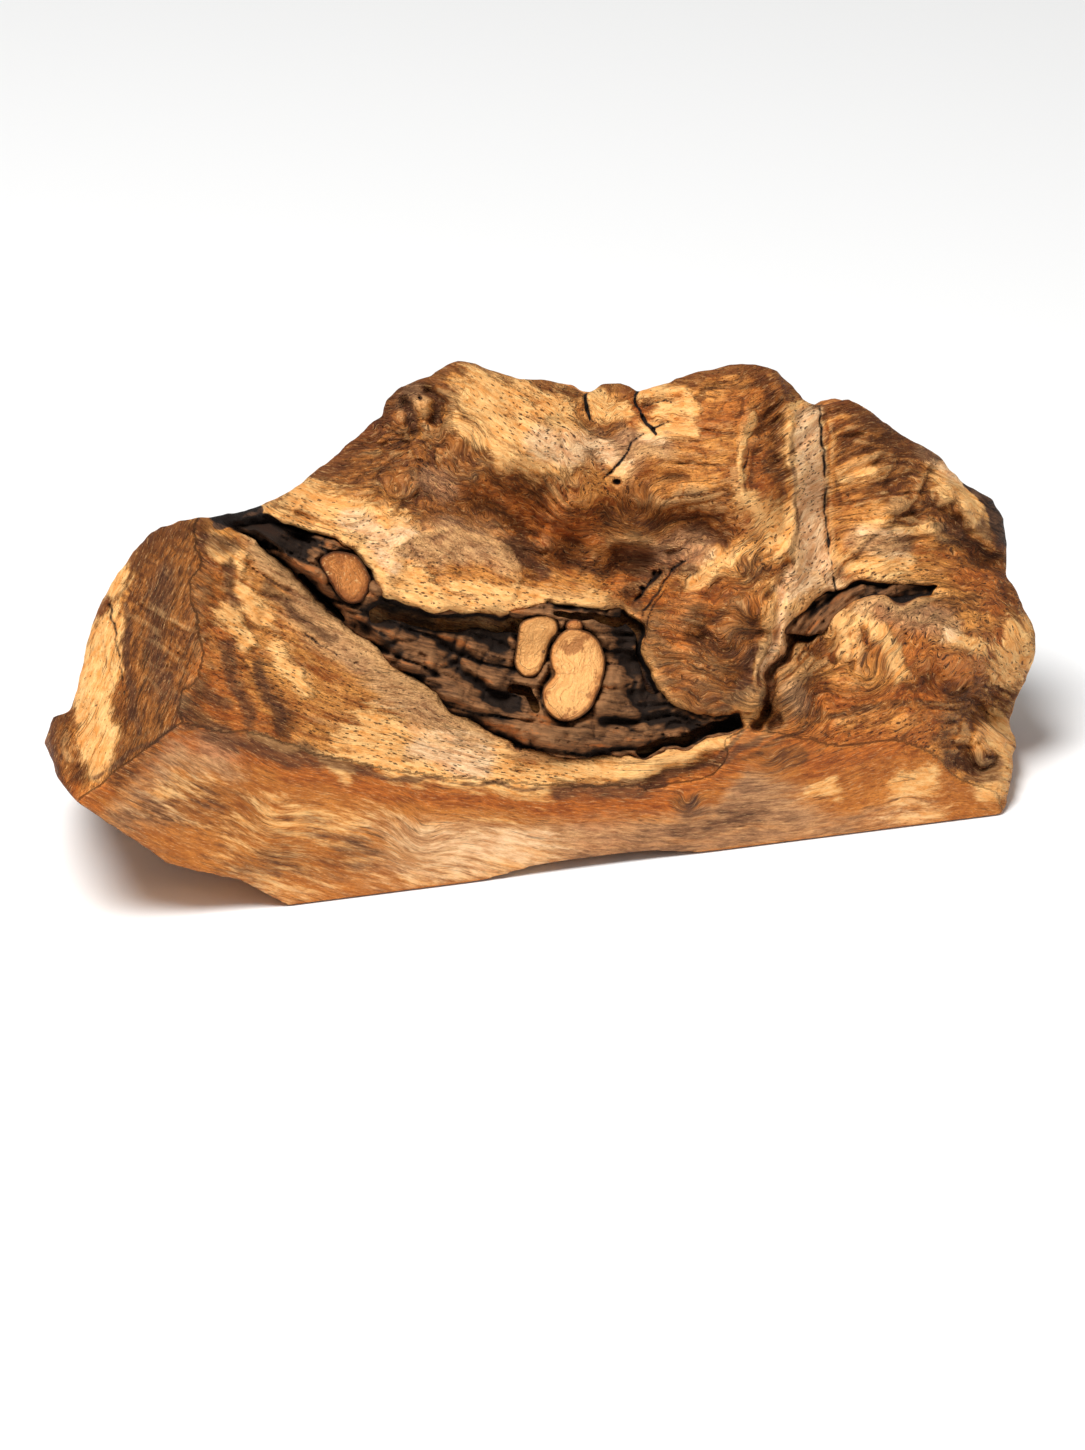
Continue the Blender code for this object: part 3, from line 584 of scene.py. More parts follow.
bark = {
    "depth": 9,
    # how far the piece lies below the wood, its mesh's box and mesh size
    "band": (0, ((-118, -80, 2), (96, -2, 104)), 0.7),
    "seam": (0.8, ((72, -70, 18), (152, -4, 92)), 0.6),
    "trench": [
        (-112, 69), (-105, 72), (-95, 73), (-84, 67), (-73, 62), (-62, 58), (-55, 50), (-53, 42), (-45, 39),
        (-30, 37), (-14, 36.5), (-2, 38), (3, 41), (14, 40), (27, 37), (34, 33), (33, 24), (38, 12),
        (46, 5), (56, 3), (66, 4), (68, 0), (60, -3), (52, -6), (40, -10), (20, -11), (0, -9),
        (-14, -4), (-28, 4), (-42, 14), (-56, 26), (-70, 38), (-84, 52), (-97, 63), (-107, 67),
    ],
    "seamTrench": [
        (82, 26), (80, 31), (85, 37), (93, 44), (104, 47), (112, 48.5), (120, 46.5), (130, 45.5), (128, 41),
        (120, 40), (112, 42), (103, 41), (97, 36), (93, 31), (87, 27),
    ],
    # dark gaps where the bark has shrunk away from the wood: radius and points
    "gaps": [
        (2.6, [(-54, 37), (-44, 35), (-30, 34), (-12, 34), (-6, 32)]),
        (1.2, [(-90, 70), (-76, 64), (-62, 59), (-56, 50)]),
        (2, [(33, -8), (46, -5), (56, -1), (66, 2)]),
        (2.4, [(28, 36), (33, 30), (34, 22), (37, 12)]),
        (0.8, [(-80, 50), (-72, 42), (-66, 36)]),
        (1.4, [(6, 36), (18, 36), (26, 33)]),
        (1.6, [(-10, 12), (-4, 10), (-2, 6)]),
    ],
    "seamGaps": [(1.6, [(88, 42), (96, 46), (108, 48), (114, 47)]), (2, [(80, 27), (86, 27), (90, 28)])],
    # curved rims and ledges of the bark: half width, height, points
    "rims": [
        # the bark lies deeper under the lip and towards the nose
        (5, -3.2, [(-54, 37), (-44, 34), (-30, 32), (-12, 32)]),
        (4, -2, [(-92, 70), (-80, 66), (-66, 60)]),
        (4, -2.6, [(26, 30), (32, 18), (36, 6), (48, 0)]),
        (4, -2.6, [(-30, 20), (-20, 14), (-12, 8)]),
        (1.8, 3, [(-76, 56), (-64, 58), (-57, 53), (-55, 45), (-58, 38), (-64, 37)]),
        (1.6, 2, [(-76, 54), (-72, 46), (-66, 38)]),
        (2.2, 2.6, [(-46, 33), (-36, 28), (-26, 20), (-16, 14)]),
        (2, 2.2, [(-58, 38), (-46, 30), (-36, 22), (-26, 12)]),
        (1.6, 2, [(-32, 30), (-18, 29), (-8, 27)]),
        (2.4, 2.6, [(2, 36), (12, 37), (22, 32), (25, 22), (22, 8), (14, -2), (4, -3), (-6, 2)]),
        (2, 2.2, [(-4, 10), (-8, 20), (-10, 30)]),
        (1.8, 2, [(26, 18), (28, 6), (34, -2), (46, -2)]),
        (1.8, 1.8, [(-20, 6), (-4, -4), (16, -7), (32, -6)]),
        (1.6, -2.4, [(-33, 26), (-26, 18), (-16, 10), (-8, 4)]),
        (1.2, -2, [(-66, 30), (-50, 18), (-34, 8), (-20, 0)]),
        (1.4, -2, [(26, 26), (28, 14), (32, 4), (40, -4)]),
    ],
}

knotMeshSize = 0.5
knots = {
    # outline, how far it stands out of the bark, colours of its rim and middle, and its rings' centre
    "knotTear": {
        "outline": [
            (-74, 55), (-68, 57), (-62, 56), (-58, 51), (-57, 46), (-60, 41), (-64, 40.5), (-68, 44),
            (-71, 50),
        ],
        "proud": 2, "rim": (130, 70, 28), "middle": (200, 124, 60), "hub": (-66, 50),
    },
    "knotBean": {
        "outline": [
            (7, 31), (12, 31.5), (17, 29), (20, 24), (20, 18), (18, 11), (15, 5), (10, 1.5), (5, 2), (1.5, 5),
            (0, 10), (2, 14), (5, 17), (3, 20), (3, 25),
        ],
        "proud": 3.4, "rim": (206, 134, 70), "middle": (246, 180, 108), "hub": (11, 17),
    },
    "knotSmall": {
        "outline": [
            (-7, 34), (-1, 36), (4, 35), (5, 31), (2, 28), (1, 22), (-2, 17), (-6, 16), (-9, 20),
            (-8, 27),
        ],
        "proud": 1.6, "rim": (206, 138, 74), "middle": (244, 178, 106), "hub": (-3, 28),
    },
    "knotTiny": {
        "outline": [(8, 33), (10, 34.5), (12.5, 34), (13, 32), (11, 30.5), (8.5, 31)],
        "proud": 2.2, "rim": (170, 98, 46), "middle": (220, 148, 80), "hub": (10, 32),
    },
}


def window(points, reach):
    # the part of the tables that a stroke can touch
    us, vs = zip(*points)
    a = max(int((min(us) - reach - tableU[0]) / tableStep), 0)
    b = max(int((max(us) + reach - tableU[0]) / tableStep) + 2, 1)
    c = max(int((min(vs) - reach - tableV[0]) / tableStep), 0)
    d = max(int((max(vs) + reach - tableV[0]) / tableStep) + 2, 1)
    return slice(a, b), slice(c, d)


def wobble(size, amount, seed):
    return amount * lumps(flatGrid, (size, size, size), seed).reshape(gridU.shape)


wobbleU = gridU + wobble(7, 1.6, 21) + wobble(2.5, 0.6, 22)
wobbleV = gridV + wobble(7, 1.6, 23) + wobble(2.5, 0.6, 24)
frayed = wobble(4, 1, 25)


def brushTable(strokes):
    # 1 along a stroke, a half at its radius and 0 at twice that
    table = np.zeros(gridU.shape)
    for radius, points in strokes:
        part = window(points, 2 * abs(radius) + 3)
        if radius < 0:
            inward = insidePolygon(wobbleU[part], wobbleV[part], points)
            table[part] = np.maximum(table[part], np.clip(0.5 - 0.5 * inward / radius, 0, 1))
            continue
        reach = strokeDistance(wobbleU[part], wobbleV[part], points) / radius
        table[part] = np.maximum(table[part], np.clip(1 - 0.5 * reach, 0, 1))
    return table


def carveTable(rows, sharp):
    # depth of cuts: straight sides if sharp, else rounded
    table = np.zeros(gridU.shape)
    for half, depth, points in rows:
        part = window(points, 2 * half + 3)
        reach = (0.8 + 0.5 * frayed[part]) if sharp else 2
        fall = np.clip(1 - strokeDistance(wobbleU[part], wobbleV[part], points) / half / reach, 0, 1)
        table[part] += depth * (fall if sharp else fall * fall * (3 - 2 * fall))
    return table


def gapTable(rows):
    # how far outside every gap a place is
    table = np.full(gridU.shape, 40.0)
    for radius, points in rows:
        table = np.minimum(table, strokeDistance(wobbleU, wobbleV, points) - radius)
    return table


barkRegion = insidePolygon(wobbleU, wobbleV, bark["trench"])
seamRegion = insidePolygon(wobbleU, wobbleV, bark["seamTrench"])
weathered = np.clip((showDepth + burl["halfDepth"] - 1.0) / 4, 0, 1)


def reliefTable():
    lumpShare = wobble(24, 1, 74)
    shallow = np.clip((outline - 1) / 7, 0.2, 1)
    height = -bark["depth"] * shallow * np.clip((barkRegion + 0.6) / 2.0, 0, 1)
    height -= 0.7 * bark["depth"] * np.clip((seamRegion + 0.4) / 1.6, 0, 1)
    height += weathered * (1.1 * grainNoise(34, 9, 2) + 0.7 * grainNoise(17, 4, 3) + 0.3 * wobble(3, 1, 8))
    for length, width, seed, cut in ((30, 4.5, 71, 1.9), (16, 2.8, 72, 1.7), (7, 1.8, 73, 1.0)):
        groove = np.clip(1 - np.abs(grainNoise(length, width, seed)) / 0.2, 0, 1)
        height -= weathered * cut * groove**2 * np.clip(0.6 + 1.2 * lumpShare, 0.1, 1)
    height += 0.08 * grainNoise(20, 1.5, 9)
    comb = insidePolygon(gridU, gridV, carving["combed"])
    ribs = np.clip(1 - np.abs(grainNoise(30, 2.6, 75)) / 0.3, 0, 1)
    height -= 1.5 * ribs * np.clip(comb / 4, 0, 1)
    height -= carveTable(carving["cracks"], True) + carveTable(carving["holes"], True)
    height -= 1.45 * carveTable(carving["swellings"], False) + carveTable(carving["chipped"], False)
    for rise, points in carving["plates"]:
        part = window(points, 4)
        near = insidePolygon(wobbleU[part], wobbleV[part], points)
        height[part] += 1.4 * rise * np.clip(near / 0.9 + 0.5, 0, 1)
    return height


def blurred(table, radius):
    ku = np.fft.fftfreq(table.shape[0], tableStep)[:, None]
    kv = np.fft.rfftfreq(table.shape[1], tableStep)[None, :]
    keep = np.exp(-2 * (math.pi * radius) ** 2 * (ku**2 + kv**2))
    return np.fft.irfft2(np.fft.rfft2(table) * keep, table.shape)


relief = reliefTable()
carved = relief - (showDepth + burl["halfDepth"]) * 0.4
carved = np.where(outline > 0, carved, 0)
# painted shade and painted highlight: the relief less its blur, used to darken the wood in hollows and
# lighten it on ridges
cavityShadeAndHighlight = 0.6 * np.clip((carved - blurred(carved, 0.9)) / 0.35, -1, 1)
cavityShadeAndHighlight += 0.9 * np.clip((carved - blurred(carved, 2.4)) / 1.1, -1, 1)
cavityShadeAndHighlight += 0.5 * np.clip((carved - blurred(carved, 7)) / 5, -1, 1)
print("relief drawn")


def backDepth(x, z):
    half = burl["halfDepth"]
    depth = half - 8 - 24 * np.abs(x / burl["halfLength"]) ** 3 - 30 * np.abs((z - 58) / 95) ** 2.5
    for cx, cz, radius, proud in burl["backKnobs"]:
        depth = depth + proud * np.exp(-((x - cx) ** 2 + (z - cz) ** 2) / (0.5 * radius**2))
    return depth


def underside(x, y):
    front = (y + burl["halfDepth"]) / 30
    hollow = burl["hollowHeight"] * np.exp(-(((x - 2) / 30) ** 4) - front**2)
    return np.maximum(hollow - 0.01, np.interp(x, *zip(*burl["underside"])))


def inTheLump(points, front):
    # how deep points lie inside the lump; front is their depth behind the show face
    x, y, z = points.T
    u, v = seen(points)
    half = burl["halfDepth"]
    swell = 2.4 * lumps(points, 30.0) + 1.1 * lumps(points, 13.0)
    rough = 0.6 * lumps(points, (16.0, 5.0, 5.0), 5) + 0.35 * lumps(points, (8.0, 2.5, 2.5), 6)
    for length, width, seed, cut in ((34.0, 7.0, 7, 2.4), (15.0, 3.4, 8, 1.4)):
        groove = np.clip(1 - np.abs(lumps(points, (length, width, width), seed)) / 0.2, 0, 1)
        rough = rough - cut * groove**2
    behind = np.clip((y - 4) / 22, 0, 1)
    depth = pick(outline, u, v) - behind * (5 + 3 * swell) - 0.003 * np.clip(y - 8, 0, 99) ** 2
    depth = softMin(depth, front - 0.5 * swell, 3.0)
    depth = softMin(depth, (backDepth(x, z) + 2 * swell - y) / 1.1 + rough, 14.0)
    depth = softMin(depth, (burl["halfLength"] + 15 - x - 0.36 * (y + 29)) / 1.06 + swell + rough, 6.0)
    depth = softMin(depth, (z - underside(x, y)) / 1.1, 2.0)
    depth = softMin(depth, y + half, 0.6)
    depth = np.minimum(depth, np.minimum(half - y, burl["halfLength"] - np.abs(x)))
    return np.minimum(depth, z)


def frontOf(points):
    u, v = seen(points)
    return (points[:, 1] - pick(showDepth, u, v)) / pick(steep, u, v)


def woodField(points):
    u, v = seen(points)
    return inTheLump(points, frontOf(points) + pick(relief, u, v))


def growMesh(name, field, box, grain):
    # fills a grid with the field, finely only near its surface, and takes the surface
    low, high = np.array(box, float)
    coarse = 4 * grain
    counts = np.ceil((high - low) / coarse).astype(int) + 1
    axes = [lowest + coarse * (np.arange(n) + 0.375) for lowest, n in zip(low, counts)]
    centres = np.stack(np.meshgrid(*axes, indexing="ij"), axis=-1).reshape(-1, 3)
    rough = field(centres).reshape(counts)
    values = np.where(rough > 0, -3 * grain, 3 * grain).astype(np.float32)
    near = np.abs(rough) < 2 * coarse
    for axis in range(3):
        values = np.repeat(values, 4, axis)
        near = np.repeat(near, 4, axis)
    places = np.argwhere(near)
    for start in range(0, len(places), 400000):
        some = places[start : start + 400000]
        found = -field(low + some * grain)
        values[tuple(some.T)] = np.clip(found, -3 * grain, 3 * grain)
    volume = openvdb.FloatGrid(background=3 * grain)
    volume.copyFromArray(values)
    corners, faces = volume.convertToQuads()
    mesh = bpy.data.meshes.new(name)
    mesh.from_pydata((corners * grain + low) * mm, [], faces[:, ::-1])
    piece = bpy.data.objects.new(name, mesh)
    bpy.context.scene.collection.objects.link(piece)
    return keepLargest(piece)


def keepLargest(piece):
    # drops specks that float free of the piece
    bm = bmesh.new()
    bm.from_mesh(piece.data)
    bm.verts.ensure_lookup_table()
    seenBefore = np.zeros(len(bm.verts), bool)
    groups = []
    for vertex in bm.verts:
        if seenBefore[vertex.index]:
            continue
        seenBefore[vertex.index] = True
        group, waiting = [vertex], [vertex]
        while waiting:
            for edge in waiting.pop().link_edges:
                for other in edge.verts:
                    if not seenBefore[other.index]:
                        seenBefore[other.index] = True
                        group.append(other)
                        waiting.append(other)
        groups.append(group)
    groups.sort(key=len)
    for group in groups[:-1]:
        bmesh.ops.delete(bm, geom=group, context="VERTS")
    bm.to_mesh(piece.data)
    bm.free()
    piece.data.shade_smooth()
    return piece


def pointsOf(piece):
    points = np.empty(len(piece.data.vertices) * 3, np.float32)
    piece.data.vertices.foreach_get("co", points)
    return points.reshape(-1, 3).astype(float) / mm


def addAttribute(piece, name, columns):
    attribute = piece.data.attributes.new(name, "FLOAT_VECTOR", "POINT")
    attribute.data.foreach_set("vector", np.column_stack(columns).astype(np.float32).ravel())


def addGrain(piece, points):
    # the figure starts afresh on the end facet and on the sawn front, which cut the fibres at other angles
    u, v = seen(points)
    deep = (points - aim) @ outAxis
    s, t = pick(grainS, u, v), pick(grainT, u, v)
    sawnFront = points[:, 1] < -burl["halfDepth"] + 0.9
    facet = (pick(endFacetTable() - slopeTable() + wobble(6, 3, 81), u, v) > 0) & ~sawnFront & (u < -105)
    lean = math.radians(68)
    s = np.where(facet, u * math.cos(lean) + v * math.sin(lean), s)
    t = np.where(facet, 300 + v * math.cos(lean) - u * math.sin(lean), t)
    addAttribute(piece, "grain", [s, t, deep + 60 * sawnFront])


def place(piece, slotName):
    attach(piece, "root")
    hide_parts("oak_burl")


def hiddenPaint(points, size, seed):
    # broad patches for the sides that the strokes don't reach
    long, wide = size
    broad = 0.45 * lumps(points, (long, wide, wide), seed)
    return 0.5 + broad + 0.2 * lumps(points, (wide, wide / 2, wide / 2), seed + 1)


def addPaint(piece, points):
    u, v = seen(points)
    front = frontOf(points)
    shown = np.clip(1.4 - front / 9, 0, 1)
    y = points[:, 1]
    base = np.clip(1 - points[:, 2] / 1.5, 0, 1)
    sawn = np.maximum(np.clip(-(y + burl["halfDepth"] - 0.8) / 0.5, 0, 1), base)

    def both(name, size, seed, level):
        drawn = pick(brushTable(paint[name]), u, v)
        return drawn * shown + (hiddenPaint(points, size, seed) - level) * (1 - shown) * (1 - 0.6 * base)

    # painted shade: cracks and holes darken with their depth, and the wood deep in the bark's trenches goes
    # nearly black
    paintedCrackShade = pick(carveTable(carving["cracks"], True) + carveTable(carving["holes"], True), u, v) / 3
    buried = np.minimum(pick(np.maximum(barkRegion, seamRegion), u, v) + 0.4, front - 0.8)
    paintedCrackShade = np.maximum(paintedCrackShade, np.clip(buried / 1.2, 0, 1))
    edge = np.exp(-((points[:, 0] - 150) / 26) ** 2 - ((points[:, 2] - 74) / 30) ** 2) * (y > -40)
    barky = np.clip(hiddenPaint(points, (60, 34), 77) - 0.34, 0, 1) * (y > 6) * (points[:, 2] > 12)
    # name, size of the patches on the hidden sides, seed and how rare they are there
    rows = [("pale", (52, 20), 31, 0.10), ("brown", (60, 26), 33, 0.06), ("rust", (44, 20), 35, 0.14),
            ("grey", (70, 30), 37, 0.02), ("creaseShadeAndStain", (40, 14), 39, 0.22), ("pits", (40, 30), 41, 0.2)]
    layers = [both(*row) for row in rows]
    addAttribute(piece, "paintA", layers[:3])
    addAttribute(piece, "paintB", layers[3:])
    addAttribute(piece, "paintC", [both("figure", (40, 40), 43, 0.5), paintedCrackShade * shown, sawn])
    barky = np.maximum(np.maximum(barky, edge) * (1 - shown), pick(brushTable(paint["bark"]), u, v) * shown)
    # the third part is the painted shade and highlight of the relief's hollows and ridges
    addAttribute(piece, "paintD", [barky, shown, pick(cavityShadeAndHighlight, u, v) * shown])


wood = growMesh("wood", woodField, burl["meshBox"], burl["meshSize"])
woodPoints = pointsOf(wood)
addGrain(wood, woodPoints)
addPaint(wood, woodPoints)
place(wood, "burl_wood")
print("wood grown", len(wood.data.vertices))


def rounded(points):
    # the outline with its corners cut twice
    points = np.array(points, float)
    for _ in range(2):
        after = np.roll(points, -1, axis=0)
        points = np.stack([0.75 * points + 0.25 * after, 0.25 * points + 0.75 * after], axis=1).reshape(-1, 2)
    return [tuple(point) for point in points]


def terrace(height, rise):
    # flat flakes with steep edges
    level = np.floor(height / rise)
    return (level + np.clip((height / rise - level) * 3.0, 0, 1)) * rise


def barkTable():
    scales = 1.0 * grainNoise(36, 7, 51) + 1.0 * grainNoise(15, 3.4, 52)
    height = 1.1 * terrace(1.8 * scales + 0.8 * grainNoise(7, 1.8, 53), 1.2) + 0.5 * scales
    for length, width, seed, cut in ((34, 4.5, 54, 4.0), (16, 2.4, 57, 2.4), (6, 5, 58, 1.6)):
        furrow = np.clip(1 - np.abs(grainNoise(length, width, seed)) / 0.2, 0, 1)
        height -= cut * furrow**2
    height += 0.9 * grainNoise(6, 1.2, 56) + 0.8 * wobble(1.6, 1, 55)
    for half, rise, points in bark["rims"]:
        part = window(points, 2 * half + 3)
        fall = np.clip(1 - strokeDistance(wobbleU[part], wobbleV[part], points) / half / 2, 0, 1)
        height[part] += rise * fall * fall * (3 - 2 * fall)
    for knot in knots.values():
        near = insidePolygon(wobbleU, gridV, rounded(knot["outline"]))
        height -= 3.0 * np.clip(1 - np.abs(near + 0.3) / 1.0, 0, 1)
        height += 1.2 * np.clip(1 - np.abs(near + 3.0) / 2.0, 0, 1)
    return height - 1.6


barkHeight = barkTable()


def makeBark(name, region, gaps, facts):
    sink, box, grain = facts
    edge = np.minimum(region + 0.4, gapTable(gaps))

    def field(points):
        u, v = seen(points)
        front = frontOf(points)
        depth = inTheLump(points, front + pick(barkHeight, u, v) - sink)
        depth = softMin(depth, pick(edge, u, v), 1.6)
        return np.minimum(depth, bark["depth"] + 0.8 - front)

    piece = growMesh(name, field, box, grain)
    points = pointsOf(piece)
    u, v = seen(points)
    addGrain(piece, points)
    addAttribute(piece, "barkForm", [pick(barkHeight, u, v), 0 * u, 0 * u])
    place(piece, "ingrown_bark")
    return piece


def makeKnot(name, facts):
    edge = insidePolygon(gridU, gridV, rounded(facts["outline"])) + 0.6 + 0.35 * wobble(2.5, 1, 60)
    skin = 0.35 * wobble(5, 1, 61) + 0.12 * wobble(1.5, 1, 62)

    def field(points):
        u, v = seen(points)
        front = frontOf(points)
        depth = softMin(front + facts["proud"] + pick(skin, u, v), pick(edge, u, v), 2.2)
        return np.minimum(depth, bark["depth"] + 0.5 - front)

    us, vs = zip(*facts["outline"])
    middle = aim + acrossAxis * np.mean(us) + upAxis * np.mean(vs)
    middle = middle - outAxis * ((middle[1] - pick(showDepth, np.mean(us), np.mean(vs))) / outAxis[1])
    reach = 0.5 * max(max(us) - min(us), max(vs) - min(vs)) + 14
    piece = growMesh(name, field, (middle - reach, middle + reach), knotMeshSize)
    points = pointsOf(piece)
    u, v = seen(points)
    addGrain(piece, points)
    hubU, hubV = facts["hub"]
    addAttribute(piece, "rings", [pick(edge, u, v), np.arctan2(v - hubV, u - hubU), 0 * u])
    place(piece, "knot_wood")
    return piece


barkBand = makeBark("barkBand", barkRegion, bark["gaps"], bark["band"])
barkSeam = makeBark("barkSeam", seamRegion, bark["seamGaps"], bark["seam"])
knotPieces = {name: makeKnot(name, facts) for name, facts in knots.items()}
print("bark and knots grown", len(barkBand.data.vertices))


class Sock:
    # a socket that can be used in sums; numbers alone stay numbers
    def __init__(self, tree, socket):
        self.tree = tree
        self.socket = socket

    def sum(self, operation, first, second):
        node = makeNode(self.tree, "Math", {"operation": operation}, {0: first, 1: second})
        return Sock(self.tree, node.outputs[0])

    def __add__(self, other):
        return self.sum("ADD", self, other)

    def __radd__(self, other):
        return self.sum("ADD", other, self)

    def __sub__(self, other):
        return self.sum("SUBTRACT", self, other)

    def __rsub__(self, other):
        return self.sum("SUBTRACT", other, self)

    def __mul__(self, other):
        return self.sum("MULTIPLY", self, other)

    def __rmul__(self, other):
        return self.sum("MULTIPLY", other, self)

    def step(self, low, high):
        # 0 below low, 1 above high, and smooth between them
        node = makeNode(self.tree, "MapRange", {"interpolation_type": "SMOOTHSTEP"},
                        {"Value": self, "From Min": low, "From Max": high})
        return Sock(self.tree, node.outputs[0])


def joinTo(tree, value, entry):
    if isinstance(value, Sock):
        tree.links.new(value.socket, entry)
    else:
        entry.default_value = value


def makeNode(tree, kind, settings, values):
    # values are numbers or sockets, by the names or places of the node's inputs
    node = tree.nodes.new("ShaderNode" + kind)
    for name, value in settings.items():
        setattr(node, name, value)
    for entry, value in values.items():
        joinTo(tree, value, node.inputs[entry])
    return node


class Finish:
    # one material and the ways to build it
    def __init__(self, name):
        self.material = bpy.data.materials.new(name)
        self.material.use_nodes = True
        self.tree = self.material.node_tree
        self.shader = self.tree.nodes["Principled BSDF"]
        self.shader.inputs["Specular IOR Level"].default_value = 0.25

    def node(self, kind, settings, output=0, **values):
        values = {name.replace("_", " "): value for name, value in values.items()}
        return Sock(self.tree, makeNode(self.tree, kind, settings, values).outputs[output])

    def attribute(self, name):
        return self.node("Attribute", {"attribute_name": name}, "Vector")

    def parts(self, vector):
        node = makeNode(self.tree, "SeparateXYZ", {}, {0: vector})
        return [Sock(self.tree, out) for out in node.outputs]

    def vector(self, x, y, z):
        return self.node("CombineXYZ", {}, X=x, Y=y, Z=z)

    def noise(self, vector, detail=2.0, rough=0.5):
        return self.node("TexNoise", {}, Vector=vector, Scale=1.0, Detail=detail, Roughness=rough)

    def mix(self, share, first, second):
        # inputs 6 and 7 and output 2 are the colour ones
        node = makeNode(self.tree, "Mix", {"data_type": "RGBA"}, {"Factor": share, 6: first, 7: second})
        return Sock(self.tree, node.outputs[2])

    def bump(self, height, distance, strength=1.0):
        return self.node("Bump", {}, Height=height, Distance=distance, Strength=strength)

    def finish(self, **values):
        for name, value in values.items():
            joinTo(self.tree, value, self.shader.inputs[name.replace("_", " ")])
        return self.material


def tone(red, green, blue):
    # a colour given as it shows on a screen, 0 to 255
    linear = [c / 12.92 if c <= 0.04045 else ((c + 0.055) / 1.055) ** 2.4
              for c in (red / 255, green / 255, blue / 255)]
    return (*linear, 1.0)


